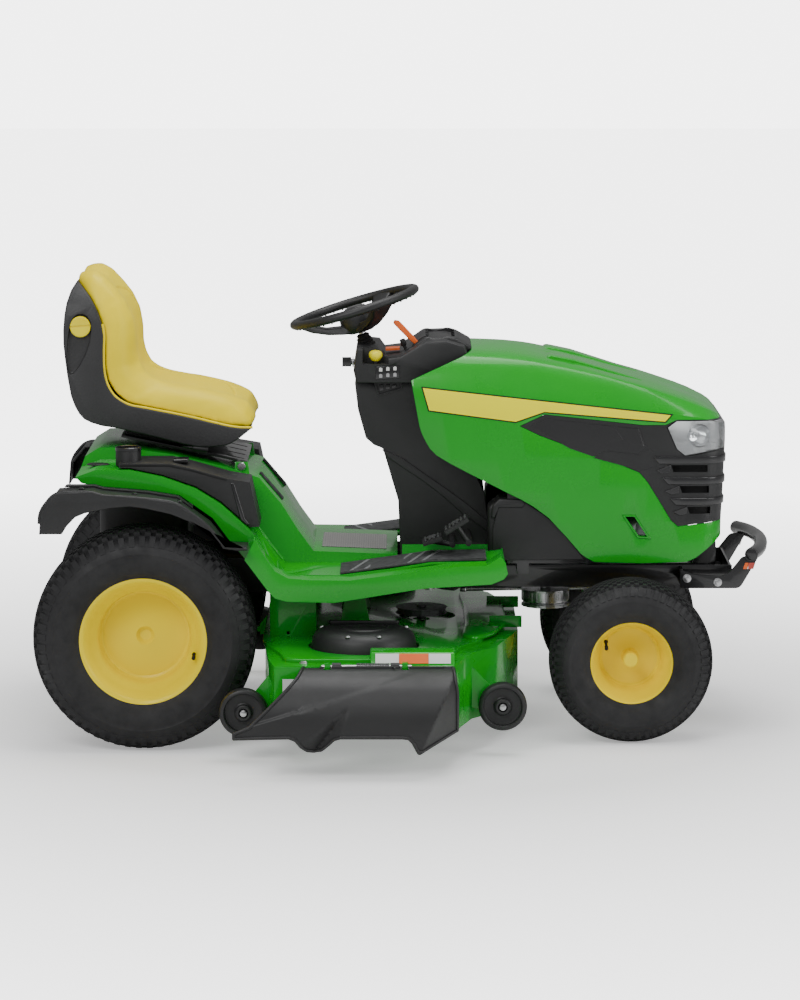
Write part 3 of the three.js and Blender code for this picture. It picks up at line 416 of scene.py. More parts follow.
def seat_vinyl():
    """Embossed yellow vinyl: leather-like cells with fine creases and a soft sheen."""
    colour = (0.95, 0.74, 0.0)
    material, surface = shader('seat_vinyl', 0.46, coat=0.05, coat_roughness=0.3, specular=0.25)
    where = place_on(material)
    wire(material, ramp(material, noise(material, where, 6, 5), (0.3, shade(colour, 0.94)),
                        (0.7, shade(colour, 1.04))),
         surface.inputs["Base Color"])
    wire(material, ramp(material, noise(material, where, 40, 4), (0.3, 0.36), (0.7, 0.5)),
         surface.inputs["Roughness"])
    cells = node(material, 'ShaderNodeTexVoronoi', Scale=420.0)
    cells.feature = 'DISTANCE_TO_EDGE'
    wire(material, where, cells.inputs["Vector"])
    first = relief(material, surface, cells.outputs["Distance"], 0.35, 0.0012)
    relief(material, surface, noise(material, where, 60, 4), 0.12, 0.002, under=first)
    return material


def mat_rubber():
    """Ribbed grip rubber with scuffed tops."""
    material, surface = shader('grip_rubber', 0.8)
    where = place_on(material)
    wire(material, ramp(material, noise(material, where, 60, 5), (0.35, (0.022, 0.023, 0.024)),
                        (0.7, (0.06, 0.062, 0.064))),
         surface.inputs["Base Color"])
    relief(material, surface, noise(material, where, 500, 3), 0.4, 0.0006)
    return material


def lens_plastic():
    material, surface = shader('lens_clear', 0.04, specular=0.5)
    surface.inputs["Transmission Weight"].default_value = 0.95
    surface.inputs["IOR"].default_value = 1.35
    where = place_on(material, (1, 1, 1))
    wire(material, ramp(material, noise(material, where, 20, 2), (0.3, (0.93, 0.95, 0.96)),
                        (0.7, (0.99, 1, 1))),
         surface.inputs["Base Color"])
    flutes = node(material, 'ShaderNodeTexWave', Scale=60.0, Distortion=0.0)
    flutes.bands_direction = 'Z'
    wire(material, where, flutes.inputs["Vector"])
    relief(material, surface, flutes.outputs["Fac"], 0.15, 0.0008)
    return material


def label(name, paper, ink, scale=(18, 1, 60), bands=0.5):
    """A generic printed sticker: blocks of ink on coated paper, with no words."""
    material, surface = shader(name, 0.3, coat=0.4)
    where = place_on(material, scale)
    blocks = node(material, 'ShaderNodeTexBrick', Scale=1.0, Mortar_Size=0.12, Brick_Width=0.7, Row_Height=0.5)
    wire(material, where, blocks.inputs["Vector"])
    wire(material, ramp(material, blocks.outputs["Fac"], (bands - 0.02, ink), (bands + 0.02, paper)),
         surface.inputs["Base Color"])
    relief(material, surface, noise(material, place_on(material), 300, 2), 0.04, 0.0003)
    return material


GREEN = gloss_paint('green_enamel', (0.0, 0.33, 0.010), coat=0.35, specular=0.3)
RIM_YELLOW = gloss_paint('rim_yellow', (0.95, 0.74, 0.0), peel=0.08, roughness=0.42, coat=0.12, specular=0.25)
STRIPE_YELLOW = gloss_paint('stripe_yellow', (1.0, 0.88, 0.0), peel=0.02, roughness=0.36, coat=0.15,
                            specular=0.25)
FRAME_BLACK = gloss_paint('chassis_black', (0.012, 0.012, 0.013), peel=0.12, roughness=0.34, coat=0.5)
PANEL_BLACK = moulded('panel_black', (0.011, 0.011, 0.012), grain=1400, depth=0.06, roughness=0.24, coat=0.4)
PLASTIC = moulded('grained_black', (0.013, 0.0133, 0.0137), grain=1000, depth=0.35, roughness=0.46)
SHELL_PLASTIC = moulded('pebbled_black', (0.024, 0.024, 0.025), grain=260, depth=0.8, roughness=0.52)
DARK = moulded('deep_black', (0.004, 0.004, 0.004), grain=600, depth=0.1, roughness=0.8)
RUBBER = tyre_rubber()
GRIP = mat_rubber()
VINYL = seat_vinyl()
STEEL = metal('zinc_steel', (0.62, 0.62, 0.63), 0.3, (1, 1, 1), 400, 0.08)
IRON = metal('dark_iron', (0.16, 0.16, 0.165), 0.55, (1, 1, 1), 120, 0.4)
ALUMINIUM = metal('cast_alloy', (0.50, 0.51, 0.53), 0.48, (1, 1, 1), 220, 0.45)
CHROME = metal('lamp_mirror', (0.86, 0.87, 0.88), 0.12, (1, 1, 1), 60, 0.05)
LENS = lens_plastic()
ORANGE = moulded('signal_orange', (0.80, 0.13, 0.012), grain=900, depth=0.15, roughness=0.4)
KNOB_YELLOW = moulded('knob_yellow', (0.95, 0.74, 0.0), grain=900, depth=0.15, roughness=0.4)
MAT_GREY = moulded("mat_grey", (0.16, 0.165, 0.17), grain=500, depth=0.3, roughness=0.7)
PALE_LABEL = label('pale_label', (0.78, 0.78, 0.76), (0.55, 0.06, 0.04), (22, 1, 70), 0.5)
DARK_LABEL = label('dark_label', (0.03, 0.03, 0.03), (0.42, 0.40, 0.36), (60, 60, 60), 0.5)

# ---- Wheels ------------------------------------------------------------------------------------

WHEELBASE = 1213
REAR_HEIGHT = 277 * math.cos(math.pi / 32)
FRONT_HEIGHT = 205 * math.cos(math.pi / 28)

# Half of each tyre's section as (radius, distance from its middle), from the bead to the crown.
REAR_TYRE = {
    'section': [(153, 76), (153, 92), (158, 96), (163, 98), (167, 102), (172, 106), (184, 111), (198, 115.5),
                (212, 117.2), (219, 117.4), (221, 118.6), (224, 117.8), (232, 115), (241, 110), (249, 103),
                (257, 92), (263, 78), (267, 60), (270, 36), (271.5, 12)],
    'inner': [(254, 60), (246, 88), (222, 104), (190, 98), (164, 82)],
    'crown': lambda y: 277 - 8.5 * (abs(y) / 92) ** 2.6,
    'lugs': 62, 'columns': [10, 31, 52, 73], 'lug': (17, 17), 'shoulder': (236, 262, 109, 87, 16),
}
FRONT_TYRE = {
    'section': [(103, 50), (103, 61), (107, 65), (111, 67), (115, 69), (120, 73), (128, 77), (138, 80.6),
                (149, 81.6), (155, 81.7), (157, 82.7), (160, 82), (168, 79.5), (176, 75.5), (183, 69),
                (190, 60), (195, 49), (198, 36), (200, 20), (200.5, 7)],
    'inner': [(186, 40), (180, 60), (160, 71), (134, 66), (112, 54)],
    'crown': lambda y: 205 - 7.5 * (abs(y) / 62) ** 2.6,
    'lugs': 58, 'columns': [7, 21, 35, 49], 'lug': (11.5, 13), 'shoulder': (170, 192, 76, 58, 12),
}


def block_at(name, size, along, radius, tilt, turn, centre, taper=0.82):
    """A tapered rubber block standing on the tyre, tilted to its surface and turned round the axle."""
    bpy.ops.object.select_all(action='DESELECT')
    bpy.ops.mesh.primitive_cube_add(size=1)
    obj = fresh(name)
    for vertex in obj.data.vertices:
        grow = taper if vertex.co.z > 0 else 1.0
        vertex.co = Vector((vertex.co.x * size[0] * grow, vertex.co.y * size[1] * grow,
                            vertex.co.z * size[2])) / 1000
    place = (Matrix.Translation(spot(*centre)) @ Matrix.Rotation(turn, 4, 'Y')
             @ Matrix.Translation((0, along / 1000, radius / 1000)) @ Matrix.Rotation(tilt, 4, 'X'))
    obj.data.transform(place)
    return obj


def tyre(name, kind, centre):
    section = kind['section']
    loop = (section + [(r, -y) for r, y in reversed(section)]
            + [(r, -y) for r, y in reversed(kind['inner'])] + kind['inner'])
    body = spun(name, loop, centre, 'Y', 96)
    pitch = 2 * math.pi / kind['lugs']
    wide, long = kind['lug']
    blocks = []
    for index, column in enumerate(kind['columns']):
        for sign in (-1, 1):
            y = sign * column
            outer, lean = kind['crown'](y), math.atan2(kind['crown'](y + sign * 2) - kind['crown'](y), 2) * sign
            shift = pitch / 2 if (index + (sign > 0)) % 2 else 0.0
            blocks.append(block_at('lug', (long, wide, 11), y, outer - 5.5, lean, shift, centre))
    r0, r1, y0, y1, deep = kind['shoulder']
    for sign, shift in ((-1, 0.0), (1, pitch / 2)):
        lean = math.atan2(r1 - r0, (y0 - y1)) * -sign
        blocks.append(block_at('lug', (deep, math.hypot(r1 - r0, y0 - y1), 12), sign * ((y0 + y1) / 2 - 0.6),
                               (r0 + r1) / 2 - 1.2, lean, shift, centre, 0.9))
    tread = joined(*blocks)
    edit(tread)
    bpy.ops.mesh.spin(steps=kind['lugs'] - 1, angle=pitch * (kind['lugs'] - 1), dupli=True,
                      center=tuple(spot(*centre)), axis=(0, 1, 0))
    done()
    return joined(body, tread)


def rear_rim(name, centre):
    """Pressed steel rim, drawn for the right wheel: its open side faces away from the machine."""
    shell = spun(name, [
        (0, 8), (14, 8), (17, 5), (19, -1), (23, -5), (40, -2), (70, 3), (98, 8), (104, 9), (110, 6), (113, -2),
        (114, -16), (116, -34), (120, -42), (127, -48), (133, -62), (138, -74), (143, -84), (148, -91),
        (153, -94.5), (158, -96), (162, -97.5), (164.2, -96.5), (164.8, -94), (163, -92), (158, -91.5),
        (153, -89), (150, -84), (147, -70), (143, -58), (136, -46), (129, -36), (124, -10), (123, 40),
        (126, 60),
        (140, 76), (152, 84), (153, 91), (163, 93), (164, 96), (158, 97), (148, 92), (136, 84), (120, 66),
        (117, 30), (112, 16), (60, 14), (46, 20), (46, 96), (0, 96),
    ], centre, 'Y', 96, closed=False)
    return shell


def front_rim(name, centre):
    shell = spun(name, [
        (0, -18), (16, -18), (18.5, -15.5), (19, -12), (19, 34), (22, 38), (40, 42), (60, 44), (70, 43),
        (76, 38), (80, 24), (82, 8), (86, -6), (92, -22), (96, -40), (99, -52), (102, -59), (106, -62.5),
        (110, -64.5), (112.6, -65), (113.4, -62.8), (112, -60.8), (107, -60), (103, -57), (101, -50),
        (98, -30), (92, -10), (87, 20), (84, 36), (88, 48), (101, 56), (102, 61), (112, 62), (113, 65),
        (106, 66), (96, 60), (80, 52), (24, 50), (24, 66), (12, 66), (12, 40), (10.5, 36), (10.5, -8), (0, -8),
    ], centre, 'Y', 80, closed=False)
    return shell


def valve(name, at, lean):
    """A rubber valve stem with its cap."""
    stem = spun(name, [(0, 0), (5, 0), (5, -4), (3.4, -8), (3.2, -22), (4.6, -23), (4.6, -34), (3, -36),
                       (0, -36)],
                (0, 0, 0), 'Y', 20, closed=False)
    stem.data.transform(Matrix.Translation(-spot(0, 0, 0)))
    stem.data.transform(Matrix.Translation(spot(*at)) @ Matrix.Rotation(math.radians(lean), 4, 'X'))
    return stem


right_parts = {}
for side_name, sign in (('right', -1), ('left', 1)):
    for end, kind, x, track, height, make_rim in (
            ('rear', REAR_TYRE, 0, 390, REAR_HEIGHT, rear_rim),
            ('front', FRONT_TYRE, WHEELBASE, 330, FRONT_HEIGHT, front_rim)):
        body = f'{end}_wheel_{side_name}'
        if sign < 0:
            made = tyre(f'{end}_tyre_round_{side_name}', kind, (x, -track, height))
            rim = make_rim(f'{end}_rim_pressed_{side_name}', (x, -track, height))
            stem = (valve('rear_valve_right', (124, -track - 58, height - 38), 8) if end == 'rear'
                    else valve('front_valve_right', (x - 62, -track - 4, height + 46), 25))
            right_parts[end] = (made, rim, stem)
        else:
            made, rim, stem = (mirrored(part, part.name.replace('right', 'left')) for part in right_parts[end])
        fitted(made, body, RUBBER, 40, (f'{end}_tyre_{side_name}',))
        fitted(rim, body, RIM_YELLOW, 30, (f'{end}_rim_{side_name}',))
        fitted(stem, body, DARK, 40)
    # the half shaft that the rear rim turns with
    shaft = rod(f'half_shaft_{side_name}', (0, sign * 118, REAR_HEIGHT), (0, sign * 300, REAR_HEIGHT), 13)
    fitted(shaft, f'rear_wheel_{side_name}', STEEL)

# ---- Hood, grille and headlights ---------------------------------------------------------------

HOOD_REAR, HOOD_NOSE = 600, 1456


def along(points, x):
    """Reads a line of (x, value) at x."""
    for (x0, v0), (x1, v1) in zip(points, points[1:]):
        if x <= x1:
            return v0 + (v1 - v0) * max(0.0, (x - x0)) / (x1 - x0)
    return points[-1][1]


RIDGE = [(560, 970), (827, 969), (900, 966), (960, 959), (1047, 941), (1110, 925), (1167, 907), (1240, 887),
         (1295, 871),
         (1345, 855), (1381, 841), (1420, 822), (1446, 809), (1456, 806)]
CREASE = [(560, 950), (800, 950), (886, 946), (967, 940), (1049, 926), (1150, 905), (1251, 877), (1353, 841),
          (1420, 815), (1446, 800), (1456, 796)]
SHOULDER = [(560, 884), (692, 878), (1000, 845), (1314, 810), (1400, 797), (1456, 782)]
WAIST = [(560, 235), (640, 240), (760, 247), (900, 251), (1250, 251), (1340, 249), (1456, 244)]

# Rings from the hood's open bottom to its middle line: side inset, nose inset, and how the height is found.
HOOD_RINGS = [
    (7, 10, lambda x: 395), (4, 10, lambda x: 470), (2, 9, lambda x: 540), (0, 5, lambda x: 620),
    (0, 2, lambda x: 700),
    (0, 0, lambda x: along(SHOULDER, x) - 40), (0.5, 0, lambda x: along(SHOULDER, x) - 8),
    (3, 1, lambda x: along(SHOULDER, x) + 4), (9, 4,
                                               lambda x: along(SHOULDER,
                                                               x) + 0.28 * (along(CREASE, x) - along(SHOULDER, x))),
    (22, 8, lambda x: along(SHOULDER, x) + 0.68 * (along(CREASE, x) - along(SHOULDER, x))),
    (36, 12, lambda x: along(CREASE, x) - 4), (40, 14, lambda x: along(CREASE, x) - 0.5),
    (45, 18, lambda x: along(CREASE, x) + 0.14 * (along(RIDGE, x) - along(CREASE, x))),
    (70, 40, lambda x: along(CREASE, x) + 0.52 * (along(RIDGE, x) - along(CREASE, x))),
    (115, 80, lambda x: along(CREASE, x) + 0.82 * (along(RIDGE, x) - along(CREASE, x))),
    (175, 130, lambda x: along(CREASE, x) + 0.96 * (along(RIDGE, x) - along(CREASE, x))),
    (250.9, 180, lambda x: along(RIDGE, x)),
]


def hood_ring(inset, nose_inset, height):
    """One U-shaped line of the hood from its right rear corner, round the nose, to its left rear corner."""
    nose = HOOD_NOSE - nose_inset
    corner = max(4.0, 62.0 - nose_inset * 0.4)
    turn = nose - corner
    half = []
    for i in range(34):
        x = HOOD_REAR + (turn - HOOD_REAR) * i / 34
        half.append((x, max(0.05, along(WAIST, x) - inset)))
    side_y = max(0.05, along(WAIST, turn) - inset)
    reach = min(corner, side_y)
    for i in range(9):
        angle = math.pi / 2 * i / 8
        half.append((turn + corner * math.sin(angle), side_y - reach + reach * math.cos(angle)))
    inner = side_y - reach
    for i in range(1, 7):
        bow = 5 * (i / 6) ** 0.8
        half.append((nose + 0 * bow, inner * (1 - i / 6)))
    right = [(x, -y) for x, y in half]
    left = [(x, y) for x, y in reversed(half[:-1])]
    return [(x, y, height(x)) for x, y in right + left]


def hood_form(name, thickness, offset):
    """The hood's whole outer skin with a wall; offset -1 keeps it inside the outer form, 1 outside."""
    rings = [hood_ring(*ring) for ring in HOOD_RINGS]
    count = len(rings[0])
    bpy.ops.object.select_all(action='DESELECT')
    bpy.ops.mesh.primitive_grid_add(x_subdivisions=count - 1, y_subdivisions=len(rings) - 1, size=1)
    obj = fresh(name)
    places = [spot(*point) for ring in rings for point in ring]
    for vertex, place in zip(obj.data.vertices, places):
        vertex.co = place
    edit(obj)
    bpy.ops.mesh.remove_doubles(threshold=0.0003)
    bpy.ops.mesh.normals_make_consistent(inside=False)
    done()
    middle = sum((p.normal.y * (p.center.y - MIDDLE_Y) for p in obj.data.polygons), 0.0)
    if middle < 0:
        obj.data.flip_normals()
    return with_modifier(obj, 'SOLIDIFY', thickness=thickness / 1000, offset=offset, use_even_offset=True)


def patch(name, outline_points, thickness, offset, y=(-300, 300)):
    """The part of the hood's skin that lies inside a side outline."""
    return kept_inside(hood_form(name, thickness, offset), slab('trim', outline_points, y[0], y[1]))


HOOD_OUTLINE = [
    (800, 667), (760, 688), (727, 708), (710, 725), (700, 742), (690, 762), (684, 780), (663, 896), (700, 913),
    (752, 936), (815, 963), (822, 1000), (1600, 1000), (1600, 560), (1454, 508), (1430, 487), (1403, 465),
    (1380, 447),
    (1357, 437), (1240, 434), (1125, 437), (1104, 448), (1090, 459), (1055, 500), (1009, 550), (970, 579),
    (937, 598),
    (916, 608),
]
PANEL_OUTLINE = [
    (936, 783), (998, 812), (1244, 785), (1302, 785), (1329, 798), (1500, 798), (1500, 545), (1426, 539),
    (1334, 528), (1317, 543), (1290, 588), (1258, 640), (1237, 665), (1190, 685), (1103, 715), (986, 759),
]
LENS_OUTLINE = [(1306, 779), (1329, 796), (1500, 796), (1500, 724), (1449, 724), (1351, 707), (1330, 724)]
STRIPE_OUTLINE = [(692, 878), (1314, 810), (1300, 794), (997, 819), (925, 794), (708, 822)]
LOW_VENT = [(1192, 558), (1227, 558), (1267, 496), (1234, 498)]


def grown(points, distance):
    """A closed outline moved outwards (or inwards, if negative) by a distance, corners mitred."""
    area = sum(a[0] * b[1] - b[0] * a[1] for a, b in zip(points, points[1:] + points[:1]))
    sign = 1 if area > 0 else -1
    made = []
    for i, (x, z) in enumerate(points):
        a, b = points[i - 1], points[(i + 1) % len(points)]
        n1, n2 = Vector((z - a[1], a[0] - x)).normalized(), Vector((b[1] - z, x - b[0])).normalized()
        way = n1 + n2
        way *= 2 / max(0.5, way.length_squared)
        made.append((x + sign * way.x * distance, z + sign * way.y * distance))
    return made


hood = patch('hood_skin', HOOD_OUTLINE, 3.2, -1)
cut(hood, slab('tool', grown(PANEL_OUTLINE, 0.6), -300, 300), slab('tool', LOW_VENT, -300, 300))
for sign in (-1, 1):
    cut(hood, slab('tool', [(1012, sign * 62), (1050, sign * 62), (1078, sign * 142), (1012, sign * 142)], 880,
                   1000, 'plan'))
rounded(hood, 0.8, 2, 50)
fitted(hood, 'hood', GREEN, 26, ('hood',))

# raised scoop behind each top vent, and the lip round the low side vent
for sign, side_name in ((-1, 'right'), (1, 'left')):
    scoop = slab(f'vent_scoop_{side_name}', [(1006, 930), (1006, 948), (1016, 950), (1076, 938), (1250, 884),
                                             (1240, 880),
                                             (1080, 921)], sign * 58, sign * 148)
    for vertex in scoop.data.vertices:
        forward = (vertex.co.x - spot(1006, 0, 0).x) / 0.244
        middle = MIDDLE_Y + sign * 0.103
        vertex.co.y = middle + (vertex.co.y - middle) * (1 - 0.55 * max(0.0, forward))
    rounded(scoop, 5, 3, 20)
    mouth = slab('tool', [(1000, 928), (1000, 945), (1034, 940), (1040, 924)], sign * 66, sign * 140)
    cut(scoop, mouth)
    fitted(scoop, 'hood', GREEN, 30)
    vent_frame = slab(f'side_vent_{side_name}', grown(LOW_VENT, -0.6), sign * 214, sign * 250.5)
    cut(vent_frame, slab('tool', grown(LOW_VENT, -5), sign * 210, sign * 252))
    rounded(vent_frame, 0.8, 2, 40)
    fitted(vent_frame, 'hood', GREEN, 30)

stripe_edge = patch('stripe_edge', grown(STRIPE_OUTLINE, 3.2), 0.5, 1)
cut(stripe_edge, slab('tool', [(500, 700), (1600, 700), (1600, 1000), (500, 1000)], -150, 150))
fitted(stripe_edge, 'hood', DARK, 30)
stripe = patch('side_stripe', STRIPE_OUTLINE, 1.0, 1)
cut(stripe, slab('tool', [(500, 700), (1600, 700), (1600, 1000), (500, 1000)], -150, 150))
fitted(stripe, 'hood', STRIPE_YELLOW, 30)

# black nose and side panels
nose = patch('nose_panel', grown(PANEL_OUTLINE, -0.6), 5, -1)
SLOTS = [(675, 1322, 1408), (622, 1344, 1412), (569, 1364, 1416)]
lens_room = [slab('tool', LENS_OUTLINE, a, b) for a, b in ((-300, -70), (70, 300))]
cut(nose, *lens_room)
for z, x0, x1 in SLOTS:
    cut(nose, slab('tool', [(x0, z - 9), (x1, z - 9), (x1, z + 9), (x0 - 6, z + 9)], -300, 300))
    for sign in (-1, 1):
        cut(nose, slab('tool', [(sign * 12, z - 9), (sign * 178, z - 9), (sign * 178, z + 9),
                                (sign * 12, z + 9)],
                       1400, 1500, 'front'))
rounded(nose, 1.2, 2, 45)
fitted(nose, 'hood', PLASTIC, 30, ('grille',))

# the darker recess ahead of the panel's tip, its facets and the plate below it
RECESS = [(962, 784), (1004, 803), (1236, 777), (1254, 728), (1234, 713), (1150, 722), (1120, 706), (1060, 727)]
recess = patch('panel_facets', RECESS, 0.6, 1)
cut(recess, slab('tool', [(500, 300), (1600, 300), (1600, 1000), (500, 1000)], -150, 150))
fitted(recess, 'hood', PANEL_BLACK, 20)
for index, facet_points in enumerate(([(1020, 799), (1100, 790), (1072, 762), (1052, 770)],
                                      [(1108, 789), (1170, 783), (1196, 748), (1150, 742)],
                                      [(1180, 782), (1232, 776), (1248, 732), (1212, 738)])):
    for sign in (-1, 1):
        step = patch(f'panel_facet_{index}_{"right" if sign < 0 else "left"}', facet_points, 1.8, 1,
                     (-300, -150) if sign < 0 else (150, 300))
        rounded(step, 1.5, 2, 30)
        fitted(step, 'hood', PANEL_BLACK, 20)
plate_line = [(1120, 703), (1150, 719), (1236, 710), (1262, 726), (1296, 690), (1240, 668), (1190, 684)]
for sign in (-1, 1):
    badge = patch(f'badge_plate_{"right" if sign < 0 else "left"}', plate_line, 1.2, 1,
                  (-300, -150) if sign < 0 else (150, 300))
    rounded(badge, 0.9, 2, 30)
    fitted(badge, 'hood', PLASTIC, 20)

# louvre blades round the corner, with a bright bevelled end on each
for row, (z, x0, x1) in enumerate(SLOTS):
    for sign in (-1, 1):
        side_name = 'right' if sign < 0 else 'left'
        rib = patch(f'louvre_{row}_{side_name}', [(x0 - 36, z + 13), (x1 + 60, z + 13), (x1 + 60, z + 31),
                                                  (x0 - 52, z + 31)],
                    4, 1, (-300, -12) if sign < 0 else (12, 300))
        rounded(rib, 2.2, 3, 30)
        fitted(rib, 'hood', PANEL_BLACK, 30)
        end = patch(f'louvre_end_{row}_{side_name}', [(x0 - 44, z - 4), (x0 - 6, z + 11), (x0 - 8, z - 9),
                                                      (x0 - 28, z - 13)],
                    3.4, 1, (-300, -150) if sign < 0 else (150, 300))
        rounded(end, 1.6, 2, 30)
        fitted(end, 'hood', PANEL_BLACK, 20)
mesh_back = slab('grille_back', [(1300, -228), (1300, 228), (1408, 232), (1436, 205), (1442, 150), (1442, -150),
                                 (1436, -205), (1408, -232)], 552, 700, 'plan')
cut(mesh_back, slab('tool', [(1280, -224), (1280, 224), (1404, 228), (1432, 201), (1438, 150), (1438, -150),
                             (1432, -201), (1404, -228)], 540, 710, 'plan'))
fitted(mesh_back, 'hood', DARK, 30)

# headlights: lens, mirror housing and lamp
for sign, side_name in ((-1, 'right'), (1, 'left')):
    width = (-300, -70.5) if sign < 0 else (70.5, 300)
    lens = patch(f'headlight_lens_{side_name}', grown(LENS_OUTLINE, -0.6), 2.4, -1, width)
    rounded(lens, 0.8, 2, 45)
    fitted(lens, 'hood', LENS, 30, (f'headlight_{side_name}',))
    housing = kept_inside(
        slab(f'lamp_mirror_{side_name}', [(1290, sign * 232), (1404, sign * 236), (1434, sign * 210),
                                          (1444, sign * 160),
                                          (1446, sign * 76), (1400, sign * 76), (1400, sign * 120),
                                          (1290, sign * 160)],
             700, 800, 'plan'), slab('trim', grown(LENS_OUTLINE, -2), -300, 300))
    for name, points in (('a', (1372, sign * 222)), ('b', (1424, sign * 130))):
        bowl = spun('tool', [(0, 0), (15, 3), (24, 12), (29, 28), (29, 60), (0, 60)], (0, 0, 0), 'X', 32,
                    closed=False)
        turn = math.radians(sign * (62 if name == 'a' else 12))
        bowl.data.transform(Matrix.Translation(spot(points[0] - (0 if name == 'a' else 8),
                                                    points[1] - sign * (14 if name == 'a' else 0), 757))
                            @ Matrix.Rotation(turn, 4, 'Z') @ Matrix.Translation(-spot(0, 0, 0)))
        cut(housing, bowl)
        bulb = spun(f'lamp_{name}_{side_name}', [(0, 0), (9, 0), (9, 4), (7, 6), (7, 14), (4, 19), (0, 20)],
                    (0, 0, 0), 'X', 24,
                    closed=False)
        bulb.data.transform(Matrix.Translation(spot(points[0] - (2 if name == 'a' else 8),
                                                    points[1] - sign * (16 if name == 'a' else 0), 757))
                            @ Matrix.Rotation(turn, 4, 'Z') @ Matrix.Translation(-spot(0, 0, 0)))
        fitted(bulb, 'hood', LENS, 30)
    rounded(housing, 0.8, 1, 50)
    fitted(housing, 'hood', CHROME, 30)
    bezel = patch(f'lamp_bezel_{side_name}', grown(LENS_OUTLINE, 2.5), 3.2, -1, width)
    cut(bezel, slab('tool', grown(LENS_OUTLINE, -1.2), -310, 310))
    fitted(bezel, 'hood', PANEL_BLACK, 30)

# ---- Seat --------------------------------------------------------------------------------------

SEAT_ROWS = [  # the shell's edge, the cushion's top over it, and half the width there
    ((-181, 1140), (-183, 1147), 112), ((-178, 1137), (-180, 1157), 136), ((-168, 1128), (-162, 1165), 160),
    ((-155, 1114), (-138, 1167), 178), ((-143, 1100), (-112, 1151), 191), ((-132, 1080), (-82, 1118), 201),
    ((-123, 1060), (-57, 1086), 207), ((-115, 1030), (-38, 1046), 211), ((-111, 1000), (-30, 1003), 213),
    ((-111, 960), (-27, 962), 214), ((-110, 925), (-21, 930), 214), ((-103, 890), (-7, 905), 214),
    ((-88, 862), (13, 892), 214), ((-60, 838), (34, 884), 214), ((-20, 826), (56, 879), 214),
    ((30, 816), (84, 874), 214), ((80, 806), (118, 869), 214), ((130, 795), (152, 862), 213),
    ((175, 784), (190, 853), 211), ((215, 777), (225, 840), 206), ((240, 775), (250, 829), 198),
    ((256, 774), (268, 811), 186), ((261, 775), (275, 794), 172), ((263, 777), (272, 781), 158),
]
SEAT_CROWN = [(1.0, 0.0), (0.997, 0.14), (0.985, 0.32), (0.955, 0.52), (0.90, 0.71), (0.82, 0.87),
              (0.73, 0.965),
              (0.62, 1.0), (0.50, 0.95), (0.36, 0.85), (0.18, 0.77), (0.0, 0.74)]


def seat_pad(name, shrink):
    """The moulded cushion: a crowned form with side bolsters, closed underneath."""
    across = [(s * f, h) for s, pairs in ((-1, SEAT_CROWN), (1, SEAT_CROWN[-2::-1])) for f, h in pairs]
    under = [(f, -0.02) for f in (0.8, 0.5, 0.2, -0.2, -0.5, -0.8)]
    ring = across + under
    bpy.ops.object.select_all(action='DESELECT')
    bpy.ops.mesh.primitive_grid_add(x_subdivisions=len(ring), y_subdivisions=len(SEAT_ROWS) - 1, size=1)
    obj = fresh(name)
    places = []
    for (sx, sz), (tx, tz), half in SEAT_ROWS:
        for f, h in ring + ring[:1]:
            h = h * (1 - shrink * 1.4) + shrink * 0.25
            places.append(spot(sx + (tx - sx) * h, half * (1 - shrink * 0.35) * f, sz + (tz - sz) * h))
    for vertex, place in zip(obj.data.vertices, places):
        vertex.co = place
    edit(obj)
    bpy.ops.mesh.remove_doubles(threshold=0.0004)
    bpy.ops.mesh.select_mode(type='EDGE')
    bpy.ops.mesh.select_all(action='DESELECT')
    bpy.ops.mesh.select_non_manifold(extend=False)
    bpy.ops.mesh.fill()
    bpy.ops.mesh.select_all(action='SELECT')
    bpy.ops.mesh.normals_make_consistent(inside=False)
    done()
    return obj


cushion = seat_pad('cushion_vinyl', 0.06)
take(cushion)
cushion.data.remesh_voxel_size = 0.0065
bpy.ops.object.voxel_remesh()
before = [vertex.co.copy() for vertex in cushion.data.vertices]
take(cushion)
bpy.ops.object.modifier_add(type='CLOTH')
cloth = cushion.modifiers[-1]
cloth.settings.quality = 4
cloth.settings.use_pressure = True
cloth.settings.uniform_pressure_force = 4.0
cloth.settings.effector_weights.gravity = 0.0
cloth.point_cache.frame_start, cloth.point_cache.frame_end = 1, 16
scene = bpy.context.scene
for number in range(1, 17):
    scene.frame_set(number)
shaped = cushion.evaluated_get(bpy.context.evaluated_depsgraph_get())
after = [vertex.co.copy() for vertex in shaped.data.vertices]
cushion.modifiers.remove(cloth)
scene.frame_set(1)
if len(after) == len(before):
    for vertex, start, end in zip(cushion.data.vertices, before, after):
        move = end - start
        vertex.co = start + move * min(1.0, 0.006 / max(move.length, 1e-9))
cushion = with_modifier(cushion, 'CORRECTIVE_SMOOTH', factor=0.5, iterations=4, use_only_smooth=True)

# pressed-in seam lines on the seat and back, drawn on the finished surface
SEAM_PATHS = [
    [(-6, -96), (30, -112), (70, -122), (112, -126), (150, -122), (184, -108), (202, -84), (208, -50),
     (210, 0)],
]
from mathutils.bvhtree import BVHTree

surface_tree = BVHTree.FromObject(cushion, bpy.context.evaluated_depsgraph_get())


def dropped(x, y, start_z=1000, way=(0, 0, -1), start=None):
    hit = surface_tree.ray_cast(start or spot(x, y, start_z), Vector(way))
    return hit[0]


def nearest_on(point, a, b):
    way = b - a
    t = max(0.0, min(1.0, (point - a).dot(way) / max(way.length_squared, 1e-12)))
    return a + way * t


